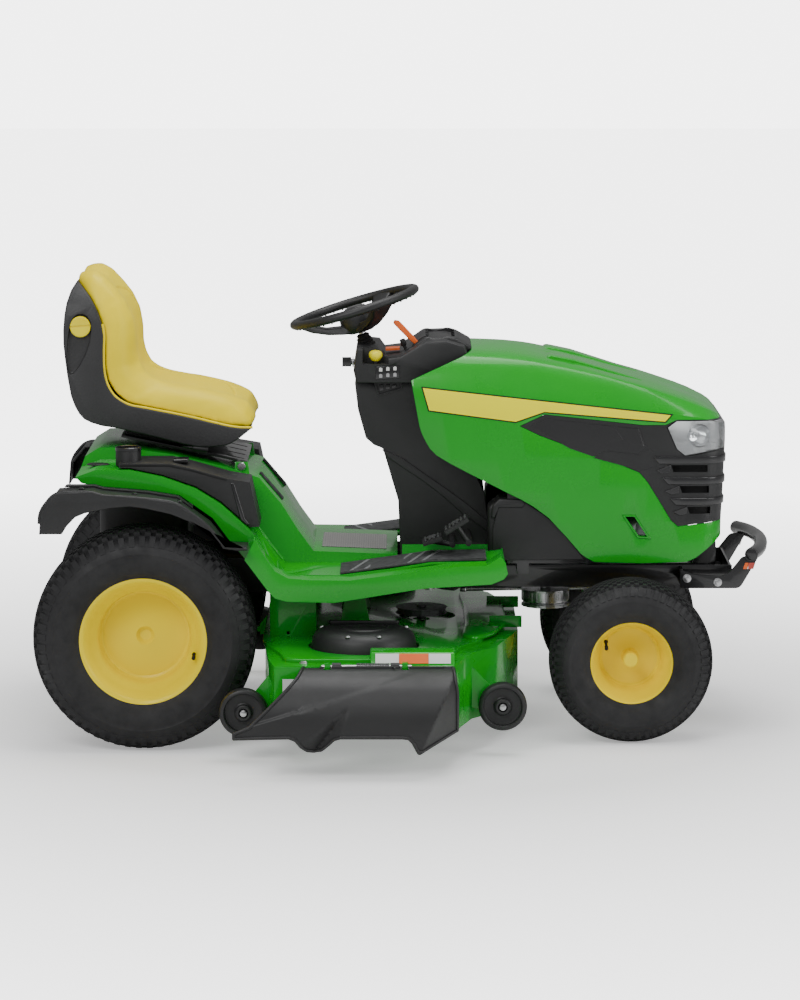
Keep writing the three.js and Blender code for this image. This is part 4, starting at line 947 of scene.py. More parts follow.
cushion = with_modifier(cushion, 'SUBSURF', levels=1, render_levels=1)
seam_lines = []
seat_line = [dropped(x, y) for x, y in SEAM_PATHS[0]]
seat_line = [p for p in seat_line if p] + [
    dropped(x, -y) for x, y in reversed(SEAM_PATHS[0][:-1]) if dropped(x, -y)]
seam_lines.append(seat_line)
back_line = []
for z, y in ((905, -104), (940, -118), (985, -124), (1030, -122), (1070, -112), (1096, -92), (1106, -50),
             (1108, 0)):
    hit = dropped(0, 0, 0, (-1, 0, 0), spot(160, y, z))
    if hit:
        back_line.append(hit)
back_line = back_line + [Vector((p.x, 2 * MIDDLE_Y - p.y, p.z)) for p in reversed(back_line[:-1])]
seam_lines.append(back_line)
for path in seam_lines:
    fine = []
    for a, b in zip(path, path[1:]):
        fine += [a.lerp(b, t / 4) for t in range(4)]
    fine.append(path[-1])
    low = Vector((min(p.x for p in fine) - 0.01, min(p.y for p in fine) - 0.01, min(p.z for p in fine) - 0.01))
    high = Vector((max(p.x for p in fine) + 0.01, max(p.y for p in fine) + 0.01, max(p.z for p in fine) + 0.01))
    normals = [vertex.normal.copy() for vertex in cushion.data.vertices]
    for vertex, normal in zip(cushion.data.vertices, normals):
        co = vertex.co
        if low.x < co.x < high.x and low.y < co.y < high.y and low.z < co.z < high.z:
            best = min((co - nearest_on(co, a, b)).length for a, b in zip(path, path[1:]))
            if best < 0.0065:
                vertex.co = co - normal * 0.0024 * (0.5 + 0.5 * math.cos(math.pi * best / 0.0065))
cushion.name = 'cushion_vinyl'
fitted(cushion, 'seat', VINYL, 60, ('seat_cushion',))

# stitches along both pressed lines
stitch_parts = []
for path in seam_lines:
    for a, b in zip(path, path[1:]):
        way = b - a
        count = max(1, int(way.length / 0.0075))
        for i in range(count):
            middle = a + way * ((i + 0.5) / count)
            hit = surface_tree.find_nearest(middle)
            if not hit[0]:
                continue
            bpy.ops.object.select_all(action='DESELECT')
            bpy.ops.mesh.primitive_cylinder_add(vertices=6, radius=0.0007, depth=0.0046)
            thread = fresh('stitch')
            thread.data.transform(Matrix.Translation(hit[0] - hit[1] * 0.0013)
                                  @ way.to_track_quat('Z', 'Y').to_matrix().to_4x4())
            stitch_parts.append(thread)
if stitch_parts:
    stitches = joined(*stitch_parts)
    stitches.name = 'seat_stitching'
    fitted(stitches, 'seat', KNOB_YELLOW, 60)

# moulded shell with rounded shoulders and a tear-drop hollow on each side
SHELL_OUTLINE = [
    (226, 744), (205, 732), (195, 729), (160, 725), (127, 725), (85, 733), (38, 746), (-20, 760), (-79, 773),
    (-115, 778),
    (-142, 786), (-160, 795), (-173, 809), (-184, 829), (-193, 854), (-201, 898), (-207, 945), (-211, 985),
    (-211, 1021),
    (-208, 1058), (-203, 1088), (-193, 1118), (-180, 1140), (-165, 1126), (-147, 1106), (-133, 1083),
    (-121, 1057),
    (-114, 1034), (-110, 1008), (-111, 970), (-111, 931), (-108, 904), (-100, 877), (-83, 852), (-51, 832),
    (-8, 823),
    (38, 814), (83, 805), (128, 795), (168, 785), (209, 776), (236, 773), (262, 773),
]
shell = slab('seat_shell_moulded', SHELL_OUTLINE, -215.5, 215.5)
kept_inside(shell, slab('trim', [(-216, 700), (216, 700), (216, 1015), (213, 1050), (203, 1085), (184, 1112),
                                 (155, 1132),
                                 (118, 1145), (-118, 1145), (-155, 1132), (-184, 1112), (-203, 1085),
                                 (-213, 1050),
                                 (-216, 1015)], -260, 300, 'front'))
rounded(shell, 13, 4, 48)
TEAR = [(-176, 1060), (-162, 1062), (-150, 1056), (-141, 1040), (-140, 1018), (-144, 990), (-154, 960),
        (-170, 930),
        (-186, 911), (-196, 908), (-202, 922), (-203, 960), (-200, 1000), (-194, 1034), (-186, 1052)]
for sign in (-1, 1):
    hollow = slab('tool', TEAR, sign * 203, sign * 240)
    cut(shell, rounded(hollow, 5, 3, 40))
# a second, finer rounding of the shell's edges
rounded(shell, 1.0, 2, 60)
fitted(shell, 'seat', SHELL_PLASTIC, 32, ('seat_shell',))
for sign, side_name in ((-1, 'right'), (1, 'left')):
    bead = tube(f'seat_piping_{side_name}', [(x + 1.5, sign * 210.5, z + 1.5) for x, z in SHELL_OUTLINE[27:]],
                3.2)
    fitted(bead, 'seat', VINYL, 50)
    cap = spun(f'seat_cap_{side_name}', [(0, 0), (25, 0), (26.5, 2), (26.5, 9), (25, 11.4), (22, 12),
                                         (0, 12.4)],
               (-168, 0, 1029), 'Y', 48, closed=False)
    groove = slab('tool', [(-200, 1025.5), (-140, 1030), (-140, 1035), (-200, 1030.5)], 8.8, 20)
    cut(cap, groove)
    rounded(cap, 0.8, 2, 40)
    flip = Matrix.Scale(-1, 4, (0, 1, 0)) if sign < 0 else Matrix.Identity(4)
    cap.data.transform(Matrix.Translation((0, sign * 0.2022, 0)) @ Matrix.Translation((0, MIDDLE_Y, 0)) @ flip
                       @ Matrix.Translation((0, -MIDDLE_Y, 0)))
    recalculated(cap)
    fitted(cap, 'seat', KNOB_YELLOW, 40)

# tilting seat plate with its four slots, pin and slide lever
plate = softened('seat_bracket', 'seat_plate', 1.2, 2)
for y in (-118, -40, 40, 118):
    cut(plate, slab('tool', [(196, y - 22), (236, y - 22), (241, y - 17), (236, y - 10), (196, y - 10),
                             (191, y - 16)], 640, 730, 'plan'))
fitted(plate, 'seat_base', FRAME_BLACK, 30, ('seat_bracket',))
for sign, side_name in ((-1, 'right'), (1, 'left')):
    pin_head = spun(f'seat_pin_{side_name}', [(0, 0), (10, 0), (10.5, 1), (10.5, 5), (9, 6.5), (0, 7)],
                    (234, 0, 673), 'Y', 24,
                    closed=False)
    flip = Matrix.Scale(-1, 4, (0, 1, 0)) if sign < 0 else Matrix.Identity(4)
    pin_head.data.transform(Matrix.Translation((0, sign * 0.191 + MIDDLE_Y,
                                                0)) @ flip @ Matrix.Translation((0, -MIDDLE_Y, 0)))
    recalculated(pin_head)
    fitted(pin_head, 'seat_base', STEEL, 30)
slide_lever = tube('seat_slide_lever', [(60, -60, 722), (80, -150, 722), (96, -198, 724), (120, -204, 722)], 4)
fitted(slide_lever, 'seat', FRAME_BLACK, 30)
grip = rod('seat_slide_grip', (112, -203.5, 722.6), (150, -206, 718), 8, 20, 3)
fitted(grip, 'seat', PLASTIC, 30)

# ---- Steering wheel, dash and pedals -----------------------------------------------------------

COLUMN_LEAN = math.radians(16.8)
WHEEL_AT = (548 - 104 * math.sin(COLUMN_LEAN), 0, 960 + 104 * math.cos(COLUMN_LEAN))


def on_column(obj):
    """Leans a piece drawn level round the row's axle point onto the steering column."""
    obj.data.transform(Matrix.Translation(spot(*WHEEL_AT)) @ Matrix.Rotation(-COLUMN_LEAN, 4, 'Y')
                       @ Matrix.Translation(-spot(0, 0, 0)))
    return obj


rim_ring = spun('steering_rim', [(159 + 13.5 * math.cos(math.pi * 2 * i / 16),
                                  11.5 * math.sin(math.pi * 2 * i / 16))
                                 for i in range(16)], (0, 0, 0), 'Z', 96)
hub = spun('steering_hub', [(0, -66), (30, -66), (38, -62), (44, -52), (48, -36), (47, -20), (42, -8), (36, -4),
                            (30, -6),
                            (0, -7)], (0, 0, 0), 'Z', 48, closed=False)
hub_cap = spun('steering_cap', [(0, -8), (29, -8), (29, -3), (26, 0.5), (12, 3), (0, 3.4)], (0, 0, 0), 'Z', 48,
               closed=False)
spokes = []
for degrees in (60, 180, 300):
    spoke = slab('spoke', [(20, -64), (46, -60), (84, -50), (122, -33), (150, -12), (160, -4), (158, 6),
                           (148, 4),
                           (118, -16), (84, -31), (48, -38), (20, -34)], -30, 30)
    for vertex in spoke.data.vertices:
        reach = (vertex.co.x - AXLE_X) * 1000
        wide = 0.62 + 0.9 * abs((reach - 88) / 90) ** 2.4
        vertex.co.y = MIDDLE_Y + (vertex.co.y - MIDDLE_Y) * min(wide, 1.5)
    rounded(spoke, 6.5, 3, 30)
    spoke.data.transform(Matrix.Translation(spot(0, 0, 0)) @ Matrix.Rotation(math.radians(degrees), 4, 'Z')
                         @ Matrix.Translation(-spot(0, 0, 0)))
    spokes.append(spoke)
grip_dents = []
for i in range(40):
    angle = 2 * math.pi * (i + 0.5) / 40
    dent = spun('dent', [(0, -13.2), (2.2, -13.2), (2.2, -10.6), (0, -10.2)], (0, 0, 0), 'Z', 8, closed=False)
    dent.data.transform(Matrix.Translation(Vector((0.159 * math.cos(angle), 0.159 * math.sin(angle), 0))))
    grip_dents.append(dent)
wheel = joined(rim_ring, hub, *spokes, *grip_dents)
wheel.name = 'steering_wheel_moulded'
fitted(on_column(wheel), 'steering', PLASTIC, 40, ('steering_wheel',))
fitted(on_column(hub_cap), 'steering', PANEL_BLACK, 40)
boot = spun('column_boot', [(10, -104), (25, -104), (25, -100), (20, -96), (22, -92), (18, -88), (20, -84),
                            (16, -80), (17, -75),
                            (12, -71), (10, -71)], (0, 0, 0), 'Z', 40)
fitted(on_column(boot), 'steering', DARK, 40)

console = softened('dash_console', 'dash_console_moulded', 5, 3)
cut(console, slab('tool', [(571, 890), (636, 894), (636, 929), (573, 926)], -178, -170.6),
    slab('tool', [(571, 890), (636, 894), (636, 929), (573, 926)], 170.6, 178))
fitted(console, 'chassis', PLASTIC, 30, ('dash_console',))
hump = slab('dash_pod', [(652, 945), (668, 974), (690, 990), (704, 996), (722, 989), (740, 992), (756, 997),
                         (780, 990),
                         (812, 972), (820, 966), (812, 952), (780, 946)], -120, 120)
rounded(hump, 9, 3, 20)
cut(hump, slab('tool', [(640, -112), (640, -88), (724, -88), (724, -112)], 900, 1020, 'plan'))
for y in (-60, 0, 60):
    cut(hump, slab('tool', [(700, y - 24), (708, y - 30), (766, y - 30), (774, y - 24), (774, y + 24),
                            (766, y + 30),
                            (708, y + 30), (700, y + 24)], 986.5, 1010, 'plan'))
fitted(hump, 'chassis', PLASTIC, 30)
for sign, side_name in ((-1, 'right'), (1, 'left')):
    switch_plate = slab(f'switch_plate_{side_name}', [(573, 892), (634, 896), (634, 927), (575, 924)],
                        sign * 168, sign * 171.6)
    rounded(switch_plate, 1.0, 2, 30)
    fitted(switch_plate, 'chassis', PANEL_BLACK, 30)
for index, (x, z) in enumerate(((586, 900), (586, 916), (604, 902), (604, 918), (622, 903), (622, 919))):
    icon = slab(f'switch_mark_{index}', [(x - 4, z - 4), (x + 4, z - 4), (x + 4, z + 4), (x, z + 6),
                                         (x - 4, z + 4)], -172.0, -171.2)
    fitted(icon, 'chassis', PALE_LABEL if index % 2 else STEEL, 30)
red_label = slab('throttle_label', [(598, 954), (634, 956), (634, 961), (598, 959)], -70, -20)
fitted(red_label, 'chassis', ORANGE, 30)

pedestal = softened('dash_pedestal', 'dash_pedestal_moulded', 11, 4)
pocket_line = [(573, 880), (582, 851), (637, 867), (636, 884)]
cut(pedestal, slab('tool', pocket_line, -160, -145.5), slab('tool', pocket_line, 145.5, 160))
fitted(pedestal, 'chassis', PLASTIC, 30, ('dash_pedestal',))
for sign, side_name in ((-1, 'right'), (1, 'left')):
    frame_ring = slab(f'pocket_frame_{side_name}', grown(pocket_line, 4), sign * 148, sign * 152)
    cut(frame_ring, slab('tool', grown(pocket_line, 0), sign * 140, sign * 160))
    rounded(frame_ring, 1.0, 2, 40)
    fitted(frame_ring, 'chassis', PLASTIC, 30)
    for index, x in enumerate((588, 604, 620)):
        rocker = slab(f'rocker_{index}_{side_name}', [(x - 6, 858 + (x - 588) * 0.25),
                                                      (x + 6, 861 + (x - 588) * 0.25),
                                                     (x + 6, 878), (x - 6, 876)], sign * 138, sign * 147)
        rounded(rocker, 2.0, 2, 30)
        fitted(rocker, 'chassis', PANEL_BLACK, 30)
    # the moulded fold that runs down the pedestal's side, and the flared cover in front of it
    fold = slab(f'pedestal_fold_{side_name}', [(588, 712), (640, 690), (697, 650), (750, 613), (806, 572),
                                               (858, 528), (861, 498),
                                               (800, 540), (742, 592), (690, 632), (636, 668), (604, 690)],
                sign * 148.5, sign * 154)
    rounded(fold, 3.4, 3, 30)
    fitted(fold, 'chassis', PLASTIC, 30)
    cover = slab(f'engine_side_cover_{side_name}', [(868, 440), (868, 520), (880, 571), (902, 590), (930, 594),
                                                    (952, 588),
                                                    (1000, 556), (1040, 520), (1080, 470), (1100, 442)],
                                                    sign * 236.5, sign * 243)
    rounded(cover, 2.6, 3, 30)
    fitted(cover, 'chassis', PLASTIC, 30)
    cap_edge = slab(f'side_cover_crown_{side_name}', [(862, 548), (868, 582), (884, 598), (944, 596),
                                                      (952, 586), (944, 574),
                                                      (884, 574), (874, 548)], sign * 150.8, sign * 246)
    rounded(cap_edge, 5, 3, 30)
    fitted(cap_edge, 'chassis', PLASTIC, 30)
    lower_cover = slab(f'dash_foot_cover_{side_name}', [(856, 436), (856, 574), (872, 590), (905, 590),
                                                        (905, 436)],
                       sign * 151, sign * 236)
    rounded(lower_cover, 8, 3, 30)
    fitted(lower_cover, 'chassis', PLASTIC, 30)

throttle = slab('throttle_blade', [(680, 950), (684, 958), (698, 962), (704, 954), (700, 946), (688, 944)],
                -106.2, -93.8)
throttle = joined(throttle, slab('throttle_stem', [(686, 962), (700, 958), (668, 996), (642, 1024), (632, 1034),
                                                   (620, 1036),
                                                   (617, 1028), (630, 1014), (660, 984)], -106, -94))
rounded(throttle, 3.0, 3, 30)
fitted(throttle, 'throttle', ORANGE, 35, ('throttle_lever',))
choke = joined(rod('choke_stem', (656, -66, 942), (643, -66, 972), 4),
               rod('choke_grip', (645, -66, 966), (640, -66, 984), 7.5, 20, 3))
fitted(choke, 'chassis', PLASTIC, 35)
knob = spun('pto_cap', [(0, 936), (9, 936), (12, 940), (17, 947), (17.4, 950), (17.4, 955), (15, 960), (9, 963),
                        (0, 964)],
            (573, -148, 0), 'Z', 12, closed=False)
rounded(knob, 1.2, 2, 20)
fitted(knob, 'pto', KNOB_YELLOW, 25, ('pto_knob',))
knob_stem = spun('pto_stem', [(0, 892), (6, 892), (6, 937), (0, 937)], (573, -148, 0), 'Z', 24, closed=False)
fitted(knob_stem, 'pto', PLASTIC, 25)
key = softened('ignition_key', 'key_barrel', 1.0, 2)
fitted(key, 'key', PANEL_BLACK, 30, ('ignition_key',))
bezel_ring = spun('key_bezel', [(9.4, -3), (13.5, -3), (13.5, -0.5), (12, 0), (9.4, 0)], (517, -110, 930), 'X',
                  32)
fitted(bezel_ring, 'chassis', STEEL, 30)

# grip bars on each pedal pad
for name, x, z, length, tilt, y, cad in (('forward', 776, 540, 66, 32, -322, 'forward_pedal'),
                                         ('reverse', 716, 496, 50, 18, -282, 'reverse_pedal'),
                                         ('brake', 772, 546, 92, 32, 322, 'brake_pedal')):
    pedal_body = softened(cad, f'{name}_pedal_arm', 2.5, 3)
    fitted(pedal_body, f'{name}_pedal', PLASTIC, 35, (cad,))
    bars = []
    count = int(length / 11)
    for i in range(count):
        shift = (i - (count - 1) / 2) * 11
        bar = slab('bar', [(shift - 3, 5), (shift + 3, 5), (shift + 2, 8), (shift - 2, 8)], -33, 33)
        bars.append(bar)
    boss = spun('boss', [(0, 4), (13, 4), (14, 7), (12, 10), (6, 10.5), (5, 8), (0, 8)], (0, 0, 0), 'Z', 28,
                closed=False)
    bars = joined(boss, *bars)
    bars.name = f'{name}_pedal_grip'
    bars.data.transform(Matrix.Translation(spot(x, y, z + 4)) @ Matrix.Rotation(-math.radians(tilt), 4, 'Y')
                        @ Matrix.Translation(-spot(0, 0, 0)))
    rounded(bars, 0.8, 2, 40)
    fitted(bars, f'{name}_pedal', GRIP, 35)

# ---- Fender deck, flares, consoles and foot mats -----------------------------------------------

fender = softened('fender_deck', 'fender_deck_pressed', 6, 3, 2, 40)
fitted(fender, 'chassis', GREEN, 38, ('fender_deck',))

FLARE_TOP = [(-252, 546), (-250, 575), (-247, 600), (-232, 626), (-208, 648), (-165, 652), (-122, 652),
             (-98, 645),
             (-44, 641), (10, 636), (48, 632), (84, 624), (126, 598), (165, 566), (205, 515), (258, 512)]
FLARE_FOOT = [(262, 506), (236, 505), (206, 509), (156, 552), (118, 577), (72, 596), (10, 610), (-30, 615),
              (-75, 611),
              (-113, 604), (-140, 598), (-163, 588), (-184, 566), (-196, 546)]
for sign, side_name in ((-1, 'right'), (1, 'left')):
    flare = softened(f'wheel_flare_{side_name}', f'flare_{side_name}', 1.6, 2)
    fitted(flare, 'chassis', PLASTIC, 38, (f'wheel_flare_{side_name}',))
    lip = slab(f'flare_lip_{side_name}', FLARE_TOP + FLARE_FOOT, sign * 497, sign * 504.6)
    rounded(lip, 3.2, 3, 30)
    fitted(lip, 'chassis', PLASTIC, 38)
    roll = tube(f'flare_roll_{side_name}', [(x - 1, sign * 499, z - 3) for x, z in FLARE_TOP[1:-1]], 5.0)
    fitted(roll, 'chassis', PLASTIC, 60)
    step = slab(f'flare_step_{side_name}', [(-196, 651.6), (-122, 651.6), (-98, 644.6), (10, 635.6),
                                            (84, 623.6), (122, 597),
                                            (122, 603), (86, 630), (12, 642), (-96, 651), (-120, 658),
                                            (-190, 658)],
                sign * 404, sign * 424)
    rounded(step, 2.4, 2, 30)
    fitted(step, 'chassis', PLASTIC, 38)
    for index, x in enumerate((-150, -20, 90)):
        z = along([(p[0], p[1]) for p in FLARE_TOP[4:14]], x)
        bolt = hexbolt(f'flare_bolt_{index}_{side_name}', (x, sign * 452, z), (0, 0, 1), 6, 4)
        fitted(bolt, 'chassis', FRAME_BLACK, 30)

    console_box = softened(f'fender_console_{side_name}', f'console_{side_name}', 5, 3)
    fitted(console_box, 'chassis', PLASTIC, 38, (f'fender_console_{side_name}',))
    liner = spun(f'cup_liner_{side_name}', [(0, 702.5), (27, 702.5), (27.4, 738), (30, 739.5), (32.6, 738),
                                            (32.6, 733),
                                            (33, 733), (33, 740), (30, 741.6), (26.6, 740), (26, 703.6),
                                            (0, 703.6)],
                 (-42, sign * 330, 0), 'Z', 48, closed=False)
    fitted(liner, 'chassis', PANEL_BLACK, 38)
    latch = brick(f'console_latch_{side_name}', (70, 108), (sign * 330 - 26, sign * 330 + 26), (703, 713), 3, 3)
    fitted(latch, 'chassis', PANEL_BLACK, 38)
    seam = slab(f'console_seam_{side_name}', [(-58, 700), (60, 700), (110, 690), (204, 664), (206, 668),
                                              (112, 694.5), (62, 705),
                                              (-58, 705)], sign * 395.2, sign * 396.6)
    rounded(seam, 0.8, 1, 30)
    fitted(seam, 'chassis', DARK, 38)
    cover_ridge = slab(f'console_ridge_{side_name}', [(214, 660), (224, 658), (250, 570), (262, 556),
                                                      (254, 552), (238, 566)],
                       sign * 330, sign * 396.8)
    rounded(cover_ridge, 3, 3, 30)
    fitted(cover_ridge, 'chassis', PANEL_BLACK, 38)

    mat = softened(f'foot_mat_{side_name}', f'grip_mat_{side_name}', 1.4, 2)
    fitted(mat, 'chassis', GRIP, 38, (f'foot_mat_{side_name}',))
    top = [(488, 434), (608, 449), (713, 466), (845, 469.4)]
    sheet_line = [(x, z - 0.6) for x, z in top] + [(x, z + 0.9) for x, z in reversed(top)]
    marks = []
    for i in range(6):
        x = 508 + i * 36
        band = slab('band', sheet_line, sign * 384, sign * 240)
        marks.append(kept_inside(band, slab('trim', [(x, sign * 384), (x + 9, sign * 384), (x + 52, sign * 240),
                                                     (x + 43, sign * 240)], 420, 500, 'plan')))
    marks = joined(*marks)
    marks.name = f'mat_marks_{side_name}'
    fitted(marks, 'chassis', MAT_GREY, 38)
    edge = slab(f'mat_border_{side_name}', sheet_line, sign * 390, sign * 386)
    rounded(edge, 0.4, 1, 30)
    fitted(edge, 'chassis', GRIP, 38)

    strip = slab(f'slope_grip_{side_name}', [(276, 648.4), (283, 651.4), (340, 583.8), (334, 577.8)],
                 sign * 126 - 9, sign * 126 + 9)
    rounded(strip, 3.4, 3, 30)
    fitted(strip, 'chassis', GRIP, 38)
    for index, y in enumerate((214, 232)):
        ridge = tube(f'fender_ridge_{index}_{side_name}', [(258 + 6 * index, sign * y, 549),
                                                           (290, sign * (y + 1), 503),
                                                          (318, sign * (y + 2), 466),
                                                          (338, sign * (y + 3), 441)], 3.2)
        fitted(ridge, 'chassis', GREEN, 60)
    plug = spun(f'corner_plug_{side_name}', [(0, 0), (20, 0), (22, 1.6), (18, 4), (0, 5)], (0, 0, 0), 'Z', 32,
                closed=False)
    plug.data.transform(Matrix.Translation(spot(-120, sign * 300, 691.4)) @ Matrix.Scale(1.35, 4, (1, 0, 0))
                        @ Matrix.Translation(-spot(0, 0, 0)))
    fitted(plug, 'chassis', PLASTIC, 38)
    for index, (x, z) in enumerate(((330, 431), (600, 418))):
        edge_bolt = hexbolt(f'footrest_bolt_{index}_{side_name}', (x, sign * 300, z - 6), (0, 0, -1), 7, 5)
        fitted(edge_bolt, 'chassis', STEEL, 30)
    hanger = slab(f'footrest_bracket_{side_name}', [(308, 200), (308, 372), (424, 372), (424, 214), (410, 205),
                                                    (396, 198),
                                                    (330, 198)], sign * 300, sign * 304)
    cut(hanger, slab('tool', [(350, 262), (358, 262), (358, 270), (350, 270)], sign * 290, sign * 310))
    rounded(hanger, 1.2, 2, 40)
    fitted(hanger, 'chassis', GREEN, 30)
    hanger_top = brick(f'footrest_bracket_top_{side_name}', (308, 424),
                       (sign * 300, sign * 262) if sign < 0 else (262, 300),
                       (368, 373), 1.2, 2)
    fitted(hanger_top, 'chassis', GREEN, 30)
    brace = slab(f'footrest_beam_{side_name}', [(306, 372), (306, 396), (428, 396), (428, 372)], sign * 151,
                 sign * 298)
    rounded(brace, 2, 2, 40)
    fitted(brace, 'chassis', FRAME_BLACK, 30)

floor_label = slab('floor_label', [(436, -122), (436, 120), (600, 120), (600, -122)], 449.8, 459.2, 'plan')
kept_inside(floor_label, slab('trim', [(420, 456.6), (420, 459.0), (628, 451.2), (628, 448.8)], -200, 200))
fitted(floor_label, 'chassis', DARK_LABEL, 30)
tank = softened('fuel_tank', 'fuel_tank_moulded', 8, 3)
fitted(tank, 'chassis', PLASTIC, 30, ('fuel_tank',))

# ---- Mower deck, chute and gauge wheels --------------------------------------------------------

HINGE_Y, HINGE_Z = -698, 252
CHUTE_FALL = [(-700, 250.5), (-722, 250), (-744, 244), (-767, 233), (-789, 217), (-806, 196), (-818, 173),
              (-826, 146),
              (-830, 110), (-831.5, 66)]


def flowing(points, steps):
    """The points joined by a curve that passes through each of them."""
    out = []
    ends = [points[0]] + points + [points[-1]]
    for a, b, c, d in zip(ends, ends[1:], ends[2:], ends[3:]):
        for j in range(steps):
            t = j / steps
            out.append(tuple(0.5 * (2 * q + (r - p) * t + (2 * p - 5 * q + 4 * r - s) * t * t + (3 * q - p - 3 * r + s) * t ** 3)
                             for p, q, r, s in zip(a, b, c, d)))
    return out + [points[-1]]


def corners_eased(points, reach, steps=4, closed=True):
    """The outline with each corner replaced by a short curve."""
    out = []
    for i, here in enumerate(points):
        if not closed and i in (0, len(points) - 1):
            out.append(here)
            continue
        before, after = Vector(points[i - 1]), Vector(points[(i + 1) % len(points)])
        corner = Vector(here)
        start = corner + (before - corner).normalized() * min(reach, (before - corner).length * 0.45)
        end = corner + (after - corner).normalized() * min(reach, (after - corner).length * 0.45)
        for j in range(steps + 1):
            t = j / steps
            out.append(tuple(start * (1 - t) ** 2 + corner * 2 * t * (1 - t) + end * t * t))
    return out


def chute_depth(x, z):
    """How far the chute's skin is pressed inwards at a place on its side."""
    along_valley = min(max((z - 62) / 112, 0), 1)
    middle = 428 + 84 * along_valley
    half = 50 * (1 - along_valley) + 2
    valley = 30 * (1 - along_valley) * max(0, 1 - abs(x - middle) / half)
    crease = 684 + (z - 66) * 0.46
    turned = max(0, x - crease) * 1.3
    over_ridge = z - (122 + (x - 251) * 0.291)
    step = 5 * min(max(over_ridge / 5, 0), 1) * min(max((690 - x) / 40, 0), 1)
    return valley + turned + step


CHUTE_HIGH = [(236, 112), (275, 128), (388, 236), (404, 258), (742, 262), (760, 252), (766, 246), (773, 200)]
CHUTE_LOW = [(236, 101), (368, 104), (384, 98), (398, 82), (412, 70), (428, 66), (446, 70), (462, 84),
             (476, 98),
             (492, 104), (640, 104), (656, 102), (666, 92), (680, 66), (773, 104)]
fall = flowing(CHUTE_FALL, 5)
reached = [0.0]
for (y0, z0), (y1, z1) in zip(fall, fall[1:]):
    reached.append(reached[-1] + math.hypot(y1 - y0, z1 - z0))
way_y, way_z = [[(s, place[k]) for s, place in zip(reached, fall)] for k in (0, 1)]


def way_down_to(z):
    return along([(-place[1], s) for s, place in zip(reached, fall)], -z)


columns = [237 + 4 * i for i in range(135)]
high, wide = 44, len(columns)
corners, faces = [], []
for inward, drop in ((0, 0), (4, 3)):
    for x in columns:
        start, end = way_down_to(along(CHUTE_HIGH, x)), way_down_to(along(CHUTE_LOW, x))
        for j in range(high):
            s = start + (end - start) * j / (high - 1)
            y, z = along(way_y, s), along(way_z, s)
            pressed = chute_depth(x, z) * min(max((-722 - y) / 24, 0), 1)
            corners.append(spot(x, min(y + pressed, -703) + inward, z - drop))
for i in range(wide - 1):
    for j in range(high - 1):
        a = i * high + j
        quad = (a, a + 1, a + high + 1, a + high)
        faces += [quad, tuple(corner + high * wide for corner in reversed(quad))]
border = ([i * high for i in range(wide)] + [(wide - 1) * high + j for j in range(1, high)]
          + [i * high + high - 1 for i in reversed(range(wide - 1))] + list(reversed(range(1, high - 1))))
faces += [(a, b, b + high * wide, a + high * wide) for a, b in zip(border, border[1:] + border[:1])]
skin_mesh = bpy.data.meshes.new('chute_skin')
skin_mesh.from_pydata(corners, [], faces)
skin = bpy.data.objects.new('chute_skin', skin_mesh)
bpy.context.scene.collection.objects.link(skin)
if sum(face.normal.dot(face.center - spot(520, -760, 180)) * face.area for face in skin_mesh.polygons) < 0:
    skin_mesh.flip_normals()
for near, far in ((450, 468), (638, 656)):
    cut(skin, brick('tool', (near, far), (-724, -680), (236, 290), 0, 0))
fitted(skin, 'chute', PLASTIC, 26, ('discharge_chute',))
edge_run = list(reversed(border[:42])) + list(reversed(border[wide - 10:]))
edge_places = [tuple((corners[k] - spot(0, 0, 0)) * 1000) for k in edge_run]
bead = tube('chute_bead', edge_places, 4.2)
fitted(bead, 'chute', PLASTIC, 60)
top_bar = brick('chute_top_edge', (440, 742), (-712, -703), (247, 255), 2.5, 2)
for low, high in ((448, 470), (636, 658)):
    cut(top_bar, brick('tool', (low, high), (-740, -680), (236, 290), 0, 0))
fitted(top_bar, 'chute', PLASTIC, 30)
hinge_rod = rod('chute_rod', (444, HINGE_Y, HINGE_Z), (664, HINGE_Y, HINGE_Z), 4.8, 24, 1.5)
fitted(hinge_rod, 'chute', STEEL, 40)
coil = []
for i in range(16 * 20 + 1):
    angle = 2 * math.pi * i / 16
    coil.append((530 + 80 * i / 320, HINGE_Y + 8 * math.cos(angle), HINGE_Z + 8 * math.sin(angle)))
spring = tube('chute_spring', [(522, HINGE_Y + 8, HINGE_Z - 2)] + coil + [(622, HINGE_Y - 30, HINGE_Z + 3)],
              1.5, resolution=2)
fitted(spring, 'chute', IRON, 60)
for index, (low, high) in enumerate(((470, 492), (612, 634))):
    knuckle = spun(f'hinge_barrel_{index}', [(5.6, low), (10, low), (10, high), (5.6, high)],
                   (0, HINGE_Y, HINGE_Z), 'X', 24)
    fitted(knuckle, 'chute', PLASTIC, 40)

deck = softened('deck_shell', 'deck_pressing', 7, 4, 2, 40)
fitted(deck, 'deck', GREEN, 36, ('deck_shell',))
DECK_PLAN = [(250, -420), (250, 420), (320, 610), (400, 690), (700, 690), (785, 600), (812, 500), (872, 420),
             (930, 170),
             (930, -170), (872, -420), (812, -500), (785, -600), (765, -690), (330, -690), (315, -600)]
DECK_TOP = 250


def inset_plan(points, by):
    middle = (590, 0)
    out = []
    for x, y in points:
        way = Vector((x - middle[0], y - middle[1]))
        out.append((x - by * way.x / way.length * 1.25, y - by * way.y / way.length * 1.1))
    return out


